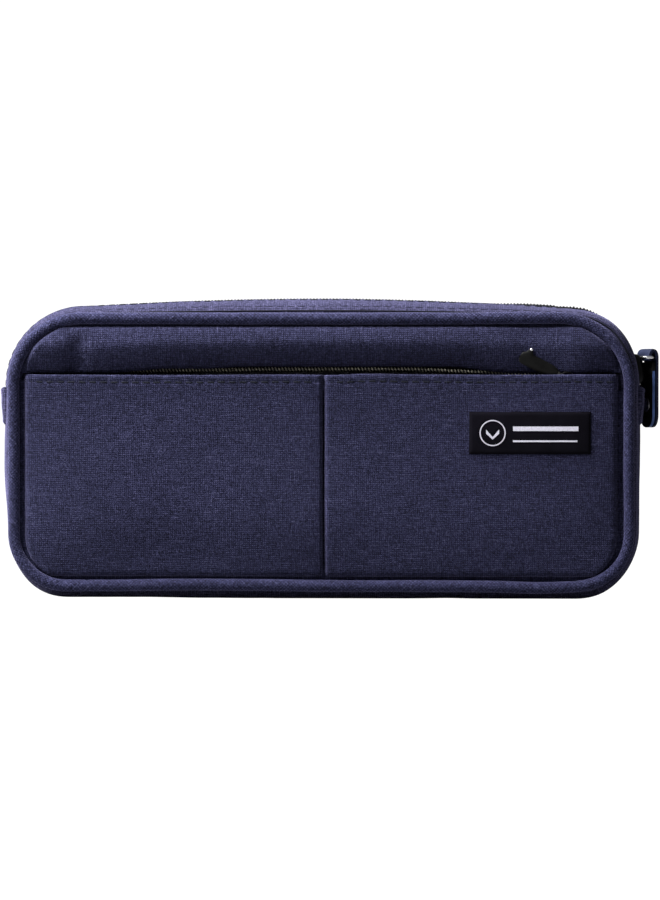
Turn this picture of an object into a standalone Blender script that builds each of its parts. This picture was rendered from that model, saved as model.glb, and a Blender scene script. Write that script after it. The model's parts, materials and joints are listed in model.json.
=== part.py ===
"""A zipped travel document organizer: a padded canvas pouch with piped edges and pockets on its front.

The pouch stands on the flat underside of its gusset at z = 0, its front faces -Y and its
length lies along X. Lengths below are in millimetres, and MM turns them into metres.
"""

import math

import bmesh
import bpy
from mathutils import Vector

MM = 0.001
GAP = 0.3

# Outline of the pouch: centres of the rounded corners
TOP_CORNER_X = 95.2
TOP_CORNER_Z = 86.0
BOTTOM_CORNER_X = 102.2
BOTTOM_CORNER_Z = 26.6

# Piping
PIPING_Y = 18.0
PIPING_RADIUS = 2.4
PIPING_CORD_RADIUS = 1.3
PIPING_COVER_INSIDE = 1.65
PIPING_SIDE = 123.2
PIPING_LOW = 5.6
PIPING_HIGH = 112.8
PIPING_ARCH = 0.4
PIPING_JOIN = 0.4985

# Gusset, from its edge at the piping to its crown
GUSSET_HALF_DEPTH = 15.3
GUSSET_EDGE_SIDE = 123.6
GUSSET_EDGE_LOW = 3.2
GUSSET_EDGE_HIGH = 113.4
CROWN_SIDE = 3.0
CROWN_HIGH = 4.0
CROWN_ARCH = 2.6
CROWN_POWER = 2.2
FLAT_BASE_SHARE = 1.6
CLOTH = 1.2
GUSSET_END_Z = 84.6
GUSSET_PADDING = 1.3
GUSSET_LINING = 0.5
SIDE_TAB_LOW_Z = 70.0
SIDE_TAB_HIGH_Z = 85.2
SIDE_TAB_HALF_WIDTH = 11.0
SIDE_TAB_THICKNESS = 1.6

# Main zip, in the crown of the gusset
ZIP_START_Z = 85.5
ZIP_SLOT_HALF = 4.9
TAPE_HALF_WIDTH = 8.0
TAPE_THICKNESS = 0.5
COIL_HALF_WIDTH = 1.7
COIL_LOW = 1.25
COIL_HIGH = 0.55
SPLIT = 0.15

# Sliders: heights are measured out from the crown or from the pocket tape's face
SLIDER_LENGTH = 10.0
SLIDER_WALL = 0.9
SLIDER_SHOULDER = 1.3
SLIDER_BEVEL = 0.5
SLIDER_PLATE_INSET = 1.1
SLIDER_CHANNEL_BEVEL = 0.9
SLIDER_FLAT_SHARE = 0.48
SLIDER_OUTLINE = ((-1.0, 0.72), (-0.9, 0.86), (-0.5, 1.0), (0.3, 1.0), (0.9, 0.92), (1.0, 0.82))
MAIN_SLIDER_HALF_WIDTH = 4.2
MAIN_SLIDER_FOOT = -1.2
MAIN_PLATE_LOW = 0.95
MAIN_PLATE_HIGH = 1.8
MAIN_SLIDER_ANGLE = 14.0
MAIN_BRIDGE_REACH = 3.2
BRIDGE_ANGLE = 18.6
BRIDGE_WIDTH = 2.4
BRIDGE_BAR = 0.8
BRIDGE_ROOM = 1.4
BRIDGE_SINK = 0.4
BRIDGE_SHOULDER_SHARE = 0.55
WIRE_RADIUS = 0.65
WIRE_OUT = 3.3
PULL_YAW = 20.0
RING_LENGTH = 4.6
RING_HALF_WIDTH = 6.4
RING_CORNER = 1.5
TAB_HALF_WIDTH = 5.2
TAB_LAYER = 1.1
TAB_LOW_Z = 68.8
TAB_SHORT_LEG_Z = 90.0
TAB_FOOT = ((5.0, 1.0), (2.5, 0.92), (0.9, 0.7), (0.0, 0.4))
TAB_RIVET_Z = 78.0
TAB_RIVET_RADIUS = 3.0
TAB_RIVET_SHANK = 1.2
TAB_RIVET_CAP = ((1.0, 0.0), (1.0, 0.25), (0.75, 0.75), (0.35, 0.95))

# Front: panels inside the piping, the pocket zip and the slip pockets
PANEL_SIDE = 120.5
PANEL_LOW = 8.3
PANEL_HIGH = 110.1
INNER_SIDE = 118.4
INNER_LOW = 10.6
INNER_HIGH = 107.8
POCKET_ZIP_Z = 90.6
POCKET_ZIP_SLOPE = -0.0205
POCKET_ZIP_HALF_LENGTH = 117.0
POCKET_TAPE_Y = -13.3
POCKET_SLOT_HALF = 4.4
POCKET_SLIDER_X = 101.0
POCKET_SLIDER_HALF_WIDTH = 3.8
POCKET_SLIDER_FOOT = 0.4
POCKET_PLATE_LOW = 2.5
POCKET_PLATE_HIGH = 3.4
POCKET_BRIDGE_REACH = 2.8
POCKET_COIL_RISE = 1.8
POCKET_COIL_BEVEL = 0.5
POCKET_WIRE_OUT = 4.95
LINK_RADIUS = 2.5
LINK_WIRE = 0.5
NECK_HALF_WIDTH = 0.9
NECK_THICKNESS = 2.5
PULL_RISE = 29.0
PULL_LENGTH = 21.0
PULL_HALF_WIDTH = 3.25
PULL_THICKNESS = 1.4
PULL_LEAN = 0.05
PULL_RIVET_INSET = 3.4
PULL_RIVET_ASIDE = 1.4
PULL_RIVET_PROFILE = ((0.4, 0.55), (0.9, 0.35), (1.1, 0.15), (1.1, 0.0))
BAND_SEAM_Y = -19.2
BAND_LEAN = 3.9
BAND_THICKNESS = 1.0
BACKING_SEAM_Y = -17.2
BACKING_SINK = 1.4
BACKING_THICKNESS = 1.0
HEM_HIGH = 89.8
HEM_LOW = 84.6
HEM_PROUD = 0.2
HEM_ROUNDING = 0.6
SEAM_X = 1.0
SEAM_HALF_WIDTH = 0.6
SLIP_THICKNESS = 1.0
SLIP_SEAM_Y = -18.9
SLIP_FULLNESS = 3.4
SLIP_SEAM_START = 12.0

# Layers behind the front and before the back: depth in the middle and at the seams
LAYERS = (
    ("pocket_lining", (-8.4, -12.4), (-7.9, -11.9), "black_lining"),
    ("front_padding", (-7.6, -11.6), (-5.6, -10.6), "foam"),
    ("front_lining", (-5.3, -10.3), (-4.9, -9.9), "black_lining"),
    ("back_lining", (12.4, 12.6), (12.8, 13.0), "black_lining"),
    ("back_padding", (13.1, 13.3), (16.6, 14.3), "foam"),
)
BACK_LINING_FACE = (12.4, 12.6)
BACK_SEAM_Y = 18.6
BACK_FULLNESS = 1.6
BACK_THICKNESS = 1.4

# Pockets on the compartment's back lining: left, right and top edges
SLEEVE = (-104.0, -8.0, 78.0)
CARD_SLOTS = (8.0, 96.0, 66.0)
INSIDE_POCKET_LOW = 22.0
INSIDE_POCKET_SEAM = 0.5
INSIDE_POCKET_FULLNESS = 0.8

# Label, and the ring and bars printed on it
LABEL_LEFT = 59.2
LABEL_RIGHT = 107.6
LABEL_LOW = 58.4
LABEL_HIGH = 75.2
LABEL_THICKNESS = 0.7
MARK_LOW = 0.3
MARK_HIGH = 0.45
MARK_RING_X = 9.3
MARK_RING_RADII = (5.2, 4.5)
MARK_BAR_LEFT = 17.4
MARK_BAR_RIGHT = 44.4
MARK_BARS = (("upper", 0.2, 3.4), ("lower", -3.8, -2.2))

SEGMENTS = ("bottom", "right_low", "right", "right_high", "top", "left_high", "left", "left_low")
SEGMENT_STEPS = (6, 6, 2, 7, 10, 7, 2, 6)

MATERIALS = {
    "navy_canvas": ((0.036, 0.038, 0.085, 1.0), 0.9, 0.0),
    "navy_piping": ((0.030, 0.032, 0.072, 1.0), 0.85, 0.0),
    "navy_gusset": ((0.048, 0.048, 0.110, 1.0), 0.88, 0.0),
    "black_lining": ((0.012, 0.012, 0.014, 1.0), 0.7, 0.0),
    "foam": ((0.25, 0.25, 0.26, 1.0), 0.95, 0.0),
    "cord": ((0.55, 0.54, 0.50, 1.0), 0.8, 0.0),
    "black_zip": ((0.010, 0.010, 0.012, 1.0), 0.45, 0.0),
    "black_metal": ((0.015, 0.015, 0.017, 1.0), 0.3, 0.8),
    "silver_metal": ((0.72, 0.72, 0.74, 1.0), 0.22, 1.0),
    "black_leather": ((0.012, 0.011, 0.011, 1.0), 0.5, 0.0),
    "navy_leather": ((0.020, 0.028, 0.085, 1.0), 0.5, 0.0),
    "black_label": ((0.010, 0.011, 0.014, 1.0), 0.6, 0.0),
    "grey_print": ((0.55, 0.56, 0.60, 1.0), 0.5, 0.0),
}


def clear_scene():
    for obj in list(bpy.data.objects):
        bpy.data.objects.remove(obj, do_unlink=True)


def material(name):
    found = bpy.data.materials.get(name)
    if found:
        return found
    colour, roughness, metallic = MATERIALS[name]
    made = bpy.data.materials.new(name)
    made.use_nodes = True
    shader = made.node_tree.nodes["Principled BSDF"]
    shader.inputs["Base Color"].default_value = colour
    shader.inputs["Roughness"].default_value = roughness
    shader.inputs["Metallic"].default_value = metallic
    made.diffuse_color = colour
    return made


def add_object(name, points, faces, material_name):
    """Links a mesh whose faces look outwards, smooth except across its sharp edges."""
    mesh = bpy.data.meshes.new(name)
    mesh.from_pydata([tuple(v * MM for v in p) for p in points], [], faces)
    shape = bmesh.new()
    shape.from_mesh(mesh)
    bmesh.ops.recalc_face_normals(shape, faces=shape.faces)
    for face in shape.faces:
        face.smooth = True
    for edge in shape.edges:
        if len(edge.link_faces) == 2 and edge.calc_face_angle() > math.radians(40):
            edge.smooth = False
    shape.to_mesh(mesh)
    shape.free()
    mesh.materials.append(material(material_name))
    obj = bpy.data.objects.new(name, mesh)
    bpy.context.scene.collection.objects.link(obj)
    return obj


def set_origin(obj, point):
    """Moves the object's origin to point, in millimetres, and leaves its shape in place."""
    place = Vector(point) * MM
    for vertex in obj.data.vertices:
        vertex.co -= place
    obj.location = place


def loft(name, rings, material_name, closed=False, sheet=False):
    """Joins rings of equal length into one solid, capped at both ends unless it is closed.

    A sheet's rings run along its front and back again, and both faces split along the same
    diagonals, so that sheets one behind the other never touch.
    """
    size = len(rings[0])
    points = [p for ring in rings for p in ring]
    faces = []
    for i in range(len(rings) if closed else len(rings) - 1):
        a = i * size
        b = (i + 1) % len(rings) * size
        for j in range(size):
            k = (j + 1) % size
            if not sheet:
                faces.append((a + j, a + k, b + k, b + j))
            elif j < size // 2:
                faces.append((a + j, a + k, b + k))
                faces.append((a + j, b + k, b + j))
            else:
                faces.append((a + j, a + k, b + j))
                faces.append((a + k, b + k, b + j))
    if not closed:
        faces.append(tuple(range(size))[::-1])
        faces.append(tuple((len(rings) - 1) * size + j for j in range(size)))
    return add_object(name, points, faces, material_name)


def revolve(name, profile, frame, material_name, sides=20):
    """Turns a profile of (radius, height) about the axis of frame(u, v, height)."""
    rings = [
        [
            frame(r * math.cos(math.tau * i / sides), r * math.sin(math.tau * i / sides), h)
            for i in range(sides)
        ]
        for r, h in profile
    ]
    return loft(name, rings, material_name)


def boolean(obj, other, operation):
    other.hide_render = True
    other.display_type = "WIRE"
    modifier = obj.modifiers.new(operation.title(), "BOOLEAN")
    modifier.operation = operation
    modifier.solver = "EXACT"
    modifier.object = other


def lerp(a, b, t):
    return a + (b - a) * t


def outline_point(segment, t, side, low, high, arch):
    """A point (x, z) of the rounded outline that reaches side, low and high."""
    turn = math.radians(90 * t)
    top_x = side - TOP_CORNER_X
    top_z = high - TOP_CORNER_Z
    bottom_x = side - BOTTOM_CORNER_X
    bottom_z = BOTTOM_CORNER_Z - low
    if segment == "bottom":
        return lerp(-BOTTOM_CORNER_X, BOTTOM_CORNER_X, t), low
    if segment == "right_low":
        x = BOTTOM_CORNER_X + bottom_x * math.sin(turn)
        return x, BOTTOM_CORNER_Z - bottom_z * math.cos(turn)
    if segment == "right":
        return side, lerp(BOTTOM_CORNER_Z, TOP_CORNER_Z, t)
    if segment == "right_high":
        x = TOP_CORNER_X + top_x * math.cos(turn)
        return x, TOP_CORNER_Z + top_z * math.sin(turn)
    if segment == "top":
        x = lerp(TOP_CORNER_X, -TOP_CORNER_X, t)
        return x, high + arch * (1 - (x / TOP_CORNER_X) ** 2)
    if segment == "left_high":
        x = -TOP_CORNER_X - top_x * math.sin(turn)
        return x, TOP_CORNER_Z + top_z * math.cos(turn)
    if segment == "left":
        return -side, lerp(TOP_CORNER_Z, BOTTOM_CORNER_Z, t)
    x = -BOTTOM_CORNER_X - bottom_x * math.cos(turn)
    return x, BOTTOM_CORNER_Z - bottom_z * math.sin(turn)


def stations(start, end):
    """Places (segment, t) along the outline, anticlockwise from start to end."""
    places = [start]
    number = SEGMENTS.index(start[0])
    t_from = start[1]
    for _ in range(len(SEGMENTS) + 1):
        last = SEGMENTS[number] == end[0] and end[1] > t_from
        t_to = end[1] if last else 1.0
        steps = max(1, round(SEGMENT_STEPS[number] * (t_to - t_from)))
        for i in range(1, steps + 1):
            places.append((SEGMENTS[number], lerp(t_from, t_to, i / steps)))
        if last:
            break
        number = (number + 1) % len(SEGMENTS)
        t_from = 0.0
    return places


def side_share(z, rising):
    """The place t on a straight side at height z."""
    t = (z - BOTTOM_CORNER_Z) / (TOP_CORNER_Z - BOTTOM_CORNER_Z)
    return t if rising else 1 - t


def gusset_size(y, inset):
    """(side, low, high, arch) of the gusset's outline at depth y, inset from its outer face."""
    crown = max(0.0, 1 - (abs(y) / GUSSET_HALF_DEPTH) ** CROWN_POWER)
    side = GUSSET_EDGE_SIDE + CROWN_SIDE * crown - inset
    low = GUSSET_EDGE_LOW * max(0.0, 1 - FLAT_BASE_SHARE * crown) + inset
    high = GUSSET_EDGE_HIGH + CROWN_HIGH * crown - inset
    return side, low, high, PIPING_ARCH + CROWN_ARCH * crown


def strip(name, places, depths, outside, inside, material_name):
    """A strip of cloth along the gusset: depths across it, and insets of its two faces."""
    rings = []
    for segment, t in places:
        ring = []
        for inset, across in ((outside, depths), (inside, depths[::-1])):
            for y in across:
                x, z = outline_point(segment, t, *gusset_size(y, inset))
                ring.append((x, y, z))
        rings.append(ring)
    return loft(name, rings, material_name)


def spread(low, high, count):
    return [lerp(low, high, i / (count - 1)) for i in range(count)]


def piping_frame(place):
    """The centre of the piping at a place, and its outward direction in (x, z)."""
    size = (PIPING_SIDE, PIPING_LOW, PIPING_HIGH, PIPING_ARCH)
    wide = (PIPING_SIDE + 1, PIPING_LOW - 1, PIPING_HIGH + 1, PIPING_ARCH)
    x, z = outline_point(*place, *size)
    out = Vector(outline_point(*place, *wide)) - Vector((x, z))
    out.normalize()
    return x, z, out


def piping_ring(place, y, radius, sides):
    x, z, out = piping_frame(place)
    ring = []
    for i in range(sides):
        turn = math.tau * i / sides
        reach = radius * math.cos(turn)
        ring.append((x + out.x * reach, y + radius * math.sin(turn), z + out.y * reach))
    return ring


def piping(prefix, y):
    """The bias-cut cover, an open tube whose ends meet below, and the cord in it."""
    sides = 8
    places = stations(("bottom", 0.5), ("bottom", PIPING_JOIN))
    rings = [piping_ring(p, y, PIPING_RADIUS, sides) for p in places]
    inner = [piping_ring(p, y, PIPING_COVER_INSIDE, sides) for p in reversed(places)]
    loft(f"{prefix}_piping_cover", rings + inner, "navy_piping", closed=True)
    cord = [piping_ring(p, y, PIPING_CORD_RADIUS, 6) for p in places]
    loft(f"{prefix}_piping_cord", cord, "cord")


def gusset():
    right = ("right", side_share(GUSSET_END_Z, True))
    left = ("left", side_share(GUSSET_END_Z, False))
    below = stations(left, right)
    depth = GUSSET_HALF_DEPTH
    strip("bottom_gusset", below, spread(-depth, depth, 11), 0, CLOTH, "navy_gusset")
    start = CLOTH + GAP
    end = start + GUSSET_PADDING
    across = spread(3 - depth, depth - 3, 5)
    strip("bottom_gusset_padding", below, across, start, end, "foam")
    start = end + GAP
    end = start + GUSSET_LINING
    strip("bottom_gusset_lining", below, across, start, end, "black_lining")
    right = ("right", side_share(ZIP_START_Z, True))
    left = ("left", side_share(ZIP_START_Z, False))
    above = stations(right, left)
    for prefix, sign in (("front", -1), ("back", 1)):
        across = [sign * y for y in spread(ZIP_SLOT_HALF, depth, 5)]
        strip(f"top_gusset_{prefix}", above, across, 0, CLOTH, "navy_gusset")
        across = [sign * SPLIT, sign * ZIP_SLOT_HALF, sign * TAPE_HALF_WIDTH]
        start = CLOTH + GAP + 0.05
        name = f"main_zip_tape_{prefix}"
        strip(name, above, across, start, start + TAPE_THICKNESS, "black_zip")
        main_coil(f"main_zip_coil_{prefix}", above, sign)


def main_coil(name, places, sign):
    """Half of the closed coil, low and rounded, along the crown."""
    inner = sign * SPLIT
    outer = sign * COIL_HALF_WIDTH
    section = (
        (inner, COIL_LOW),
        (inner, -COIL_HIGH),
        (lerp(inner, outer, 0.7), -COIL_HIGH),
        (outer, 0.0),
        (outer, COIL_LOW),
    )
    rings = []
    for place in places:
        ring = []
        for y, inset in section:
            side, low, high, arch = gusset_size(0, inset)
            x, z = outline_point(*place, side, low, high, arch)
            ring.append((x, y, z))
        rings.append(ring)
    loft(name, rings, "black_zip")


def side_tabs():
    """Folded cloth over both ends of the main zip."""
    half = SIDE_TAB_HALF_WIDTH
    low = side_share(SIDE_TAB_LOW_Z, True)
    high = side_share(SIDE_TAB_HIGH_Z, True)
    across = spread(-half, half, 7)
    start = -GAP - SIDE_TAB_THICKNESS
    right = [("right", t) for t in spread(low, high, 5)]
    strip("side_tab_right", right, across, start, -GAP, "navy_gusset")
    left = [("left", 1 - t) for t in spread(low, high, 5)]
    strip("side_tab_left", left, across, start, -GAP, "navy_gusset")


def half_width(z, side, low, high):
    """How far a panel of the pouch's outline reaches from the middle at height z."""
    if z >= TOP_CORNER_Z:
        rise = min(1.0, (z - TOP_CORNER_Z) / (high - TOP_CORNER_Z))
        return TOP_CORNER_X + (side - TOP_CORNER_X) * math.sqrt(1 - rise * rise)
    if z <= BOTTOM_CORNER_Z:
        drop = min(1.0, (BOTTOM_CORNER_Z - z) / (BOTTOM_CORNER_Z - low))
        return BOTTOM_CORNER_X + (side - BOTTOM_CORNER_X) * math.sqrt(1 - drop * drop)
    return side


def heights(low, high, side_low, side_high, count):
    """Rows closer together in the rounded corners."""
    rows = set()
    for i in range(count):
        rows.add(round(lerp(low, high, i / (count - 1)), 3))
    for share in (0.3, 0.6, 0.85, 0.96):
        rows.add(round(lerp(BOTTOM_CORNER_Z, side_low, share), 3))
        rows.add(round(lerp(TOP_CORNER_Z, side_high, share), 3))
    rows = sorted(z for z in rows if low < z < high)
    kept = [low]
    for z in rows:
        if z - kept[-1] > 0.8 and high - z > 0.8:
            kept.append(z)
    return kept + [high]


def panel(name, rows, edges, front, back, material_name, columns=16):
    """A curved panel: rows of z, edges(z) as its two x limits, and its faces as y(x, z)."""
    rings = []
    for z in rows:
        left, right = edges(z)
        xs = spread(left, right, columns + 1)
        ring = [(x, front(x, z), z) for x in xs]
        ring += [(x, back(x, z), z) for x in reversed(xs)]
        rings.append(ring)
    return loft(name, rings, material_name, sheet=True)


def smooth_step(low, high, value):
    t = min(1.0, max(0.0, (value - low) / (high - low)))
    return t * t * (3 - 2 * t)


def dome(x, z):
    """0 at a panel's seam, 1 over its middle."""
    across = 1 - min(1.0, abs(x) / PANEL_SIDE) ** 10
    up = 1 - (1 - smooth_step(PANEL_LOW - 4, PANEL_LOW + 34, z)) ** 1.6
    return max(0.0, across * up)


def slip_front(x, z):
    return SLIP_SEAM_Y - SLIP_FULLNESS * dome(x, z)


def slip_back(x, z):
    return slip_front(x, z) + SLIP_THICKNESS


def backing_front(x, z):
    return BACKING_SEAM_Y + BACKING_SINK * dome(x, z)


def backing_back(x, z):
    return backing_front(x, z) + BACKING_THICKNESS


def band_front(x, z):
    """The upper band leans back as it goes down to the pocket zip."""
    lean = smooth_step(PANEL_HIGH + 1, zip_height(x) + 6, z)
    middle = 1 - abs(x / PANEL_SIDE) ** 12
    return BAND_SEAM_Y + BAND_LEAN * lean * max(0.0, middle)


def band_back(x, z):
    return band_front(x, z) + BAND_THICKNESS


def zip_height(x):
    return POCKET_ZIP_Z + POCKET_ZIP_SLOPE * x


def layer(depth_middle, depth_edge, power=10):
    """A face that runs from its seam at the outline to its own depth in the middle."""

    def face(x, z):
        across = 1 - min(1.0, abs(x) / INNER_SIDE) ** power
        up = smooth_step(INNER_LOW - 3, INNER_LOW + 22, z)
        down = smooth_step(INNER_HIGH + 1.5, INNER_HIGH - 7, z)
        return lerp(depth_edge, depth_middle, max(0.0, across) * up * down)

    return face


def outline_edges(side, low, high):
    def edges(z):
        reach = half_width(z, side, low, high)
        return -reach, reach

    return edges


def upright_edges(left, right):
    def edges(z):
        return left, right

    return edges


def sloped_panel(name, low, high, rows, front, back, material_name):
    """A panel whose lower and upper edges are heights given as functions of x."""
    columns = 24
    rings = []
    for share in rows:
        reach = []
        for x in (-PANEL_SIDE, PANEL_SIDE):
            z = lerp(low(x), high(x), share)
            reach.append(half_width(z, PANEL_SIDE, PANEL_LOW, PANEL_HIGH))
        xs = spread(-reach[0], reach[1], columns + 1)
        zs = [lerp(low(x), high(x), share) for x in xs]
        ring = [(x, front(x, z), z) for x, z in zip(xs, zs)]
        ring += [(x, back(x, z), z) for x, z in zip(reversed(xs), reversed(zs))]
        rings.append(ring)
    return loft(name, rings, material_name, sheet=True)


def front_panels():
    def band_low(x):
        return zip_height(x) + POCKET_SLOT_HALF

    def band_high(x):
        return PANEL_HIGH

    def backing_low(x):
        return PANEL_LOW

    def backing_high(x):
        return zip_height(x) - POCKET_SLOT_HALF

    rows = (0, 0.25, 0.5, 0.7, 0.85, 0.95, 1)
    sloped_panel(
        "front_upper_band", band_low, band_high, rows, band_front, band_back, "navy_canvas"
    )
    rows = (0, 0.03, 0.09, 0.2, 0.35, 0.5, 0.7, 0.85, 1)
    sloped_panel(
        "front_backing_panel",
        backing_low,
        backing_high,
        rows,
        backing_front,
        backing_back,
        "navy_canvas",
    )


def slip_pockets():
    """Two open pockets side by side, with one hem along the top and one seam between them."""
    outer = outline_edges(PANEL_SIDE, PANEL_LOW, PANEL_HIGH)
    rows = heights(PANEL_LOW, HEM_LOW - GAP, PANEL_LOW, PANEL_HIGH, 9)

    def left_edges(z):
        return outer(z)[0], SEAM_X - GAP / 2

    def right_edges(z):
        return SEAM_X + GAP / 2, outer(z)[1]

    panel("slip_pocket_left", rows, left_edges, slip_front, slip_back, "navy_canvas")
    panel("slip_pocket_right", rows, right_edges, slip_front, slip_back, "navy_canvas")

    def hem_front(x, z):
        return slip_front(x, z) - HEM_PROUD

    def hem_back(x, z):
        return slip_back(x, z) + GAP

    hem_rows = (HEM_LOW, HEM_LOW + HEM_ROUNDING, HEM_HIGH - HEM_ROUNDING, HEM_HIGH)
    panel("slip_pocket_hem", hem_rows, outer, hem_front, hem_back, "navy_canvas", 26)

    def seam_front(x, z):
        return slip_back(x, z) + GAP

    def seam_back(x, z):
        return backing_front(x, z) - GAP

    seam_edges = upright_edges(SEAM_X - SEAM_HALF_WIDTH, SEAM_X + SEAM_HALF_WIDTH)
    seam_rows = spread(PANEL_LOW + SLIP_SEAM_START, HEM_LOW - 1, 7)
    panel("slip_pocket_seam", seam_rows, seam_edges, seam_front, seam_back, "navy_canvas", 1)


def along_pocket_zip(name, section):
    """A solid along the pocket's zip, from a section (y, distance above the zip's line)."""
    rings = []
    for x in spread(-POCKET_ZIP_HALF_LENGTH, POCKET_ZIP_HALF_LENGTH, 9):
        rings.append([(x, y, zip_height(x) + above) for y, above in section])
    loft(name, rings, "black_zip")


def pocket_zip():
    """A straight zip that drops slightly to the right, its tapes behind the panels."""
    back = POCKET_TAPE_Y + TAPE_THICKNESS
    low = POCKET_TAPE_Y - GAP
    high = low - POCKET_COIL_RISE
    for prefix, sign in (("upper", 1), ("lower", -1)):
        near = sign * SPLIT
        far = sign * TAPE_HALF_WIDTH
        tape = ((POCKET_TAPE_Y, near), (POCKET_TAPE_Y, far), (back, far), (back, near))
        along_pocket_zip(f"pocket_zip_tape_{prefix}", tape)
        far = sign * COIL_HALF_WIDTH
        coil = (
            (low, near),
            (high, near),
            (high, lerp(near, far, 0.7)),
            (high + POCKET_COIL_BEVEL, far),
            (low, far),
        )
        along_pocket_zip(f"pocket_zip_coil_{prefix}", coil)


def inner_layers():
    """Behind the front panels: the zipped pocket's lining, foam and the compartment's lining."""
    rows = heights(INNER_LOW, INNER_HIGH, INNER_LOW, INNER_HIGH, 5)
    edges = outline_edges(INNER_SIDE, INNER_LOW, INNER_HIGH)
    for name, front, back, material_name in LAYERS:
        panel(name, rows, edges, layer(*front), layer(*back), material_name, 10)


def back_panel():
    rows = heights(PANEL_LOW, PANEL_HIGH, PANEL_LOW, PANEL_HIGH, 9)
    edges = outline_edges(PANEL_SIDE, PANEL_LOW, PANEL_HIGH)

    def out(x, z):
        across = 1 - min(1.0, abs(x) / PANEL_SIDE) ** 4
        up = smooth_step(PANEL_LOW - 5, PANEL_LOW + 30, z)
        down = smooth_step(PANEL_HIGH + 5, PANEL_HIGH - 30, z)
        return BACK_SEAM_Y + BACK_FULLNESS * across * up * down

    def inside(x, z):
        return out(x, z) - BACK_THICKNESS

    panel("back_panel", rows, edges, inside, out, "navy_canvas", 20)


def interior_pockets():
    """A document sleeve and a row of card slots on the compartment's back lining."""
    lining = layer(*BACK_LINING_FACE)

    def back(x, z):
        return lining(x, z) - GAP

    def front(x, z):
        return back(x, z) - INSIDE_POCKET_SEAM - INSIDE_POCKET_FULLNESS * smooth_step(20, 70, z)

    for name, (left, right, high) in (("document_sleeve", SLEEVE), ("card_slots", CARD_SLOTS)):
        rows = spread(INSIDE_POCKET_LOW, high, 4)
        panel(name, rows, upright_edges(left, right), front, back, "black_lining", 8)


def label():
    """A plain patch with a neutral mark: a ring and two bars."""

    def face(lift):
        def at(x, z):
            return slip_front(x, z) - lift

        return at

    top = GAP + LABEL_THICKNESS
    rows = spread(LABEL_LOW, LABEL_HIGH, 5)
    edges = upright_edges(LABEL_LEFT, LABEL_RIGHT)
    panel("label_patch", rows, edges, face(top), face(GAP), "black_label", 10)
    low = face(top + MARK_LOW)
    high = face(top + MARK_HIGH)
    middle = (LABEL_LOW + LABEL_HIGH) / 2
    label_ring(LABEL_LEFT + MARK_RING_X, middle, low, high)
    edges = upright_edges(LABEL_LEFT + MARK_BAR_LEFT, LABEL_LEFT + MARK_BAR_RIGHT)
    for name, below, above in MARK_BARS:
        rows = (middle + below, middle + above)
        panel(f"label_mark_bar_{name}", rows, edges, high, low, "grey_print", 4)


def label_ring(centre, middle, low, high):
    wide, narrow = MARK_RING_RADII
    rings = []
    for i in range(20):
        turn = math.tau * i / 20
        ring = []
        for radius, face in ((wide, low), (wide, high), (narrow, high), (narrow, low)):
            x = centre + radius * math.cos(turn)
            z = middle + radius * math.sin(turn)
            ring.append((x, face(x, z), z))
        rings.append(ring)
    loft("label_mark_ring", rings, "grey_print", closed=True)


def slider(name, frame, half_width_, low, plate_low, plate_high):
    """A channel over the coil, narrower at its nose. frame(along, across, out) gives its points."""
    shoulder = plate_high - SLIDER_SHOULDER
    bevel = plate_high - SLIDER_BEVEL
    rings = []
    for share, narrow in SLIDER_OUTLINE:
        w = half_width_ * narrow
        flat = w * SLIDER_FLAT_SHARE
        inner = w - SLIDER_WALL
        along = share * SLIDER_LENGTH / 2
        right = (
            (flat, plate_high),
            (w - SLIDER_PLATE_INSET, bevel),
            (w, shoulder),
            (w, low),
            (inner, low),
            (inner, plate_low - SLIDER_SHOULDER),
            (inner - SLIDER_CHANNEL_BEVEL, plate_low),
        )
        left = [(-across, out) for across, out in reversed(right)]
        rings.append([frame(along, across, out) for across, out in [*right, *left]])
    return loft(name, rings, "black_metal")


def bridge(name, frame, centre_along, plate_high, reach):
    """The arch on a slider that holds its pull. Its feet sink into the plate."""
    half = WIRE_RADIUS + BRIDGE_ROOM / 2 + BRIDGE_BAR
    leg = half - BRIDGE_BAR / 2
    foot = plate_high - BRIDGE_SINK
    shoulder = plate_high + reach * BRIDGE_SHOULDER_SHARE
    top = plate_high + reach
    rising = ((-leg, foot), (-leg, shoulder), (-half * 0.5, top))
    path = [*rising, *((-along, out) for along, out in reversed(rising))]
    rings = []
    for i, (along, out) in enumerate(path):
        before = path[max(0, i - 1)]
        after = path[min(len(path) - 1, i + 1)]
        run = Vector((after[0] - before[0], after[1] - before[1])).normalized()
        normal = Vector((-run.y, run.x)) * BRIDGE_BAR / 2
        ring = []
        for side, across in ((1, -1), (1, 1), (-1, 1), (-1, -1)):
            place = centre_along + along + normal.x * side
            ring.append(frame(place, across * BRIDGE_WIDTH / 2, out + normal.y * side))
        rings.append(ring)
    return loft(name, rings, "black_metal")


def main_frame(along, across, out):
    """Along, across and out from the zip's arc round the upper right corner."""
    radius = GUSSET_EDGE_SIDE + CROWN_SIDE - TOP_CORNER_X
    turn = math.radians(MAIN_SLIDER_ANGLE) + along / radius
    x = TOP_CORNER_X + (radius + out) * math.cos(turn)
    z = TOP_CORNER_Z + (radius + out) * math.sin(turn)
    return x, across, z


def main_pivot():
    """The wire's centre in the bridge, and its distance along the arc from the slider's middle."""
    radius = GUSSET_EDGE_SIDE + CROWN_SIDE - TOP_CORNER_X
    along = math.radians(BRIDGE_ANGLE - MAIN_SLIDER_ANGLE) * radius
    return main_frame(along, 0.0, WIRE_OUT), along


def pull_frame(out, across, up):
    """The main pull's own axes, turned about the upright through the bridge."""
    (px, py, pz), _ = main_pivot()
    turn = math.radians(PULL_YAW)
    x = px + out * math.cos(turn) - across * math.sin(turn)
    y = py + out * math.sin(turn) + across * math.cos(turn)
    return x, y, pz + up


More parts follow.
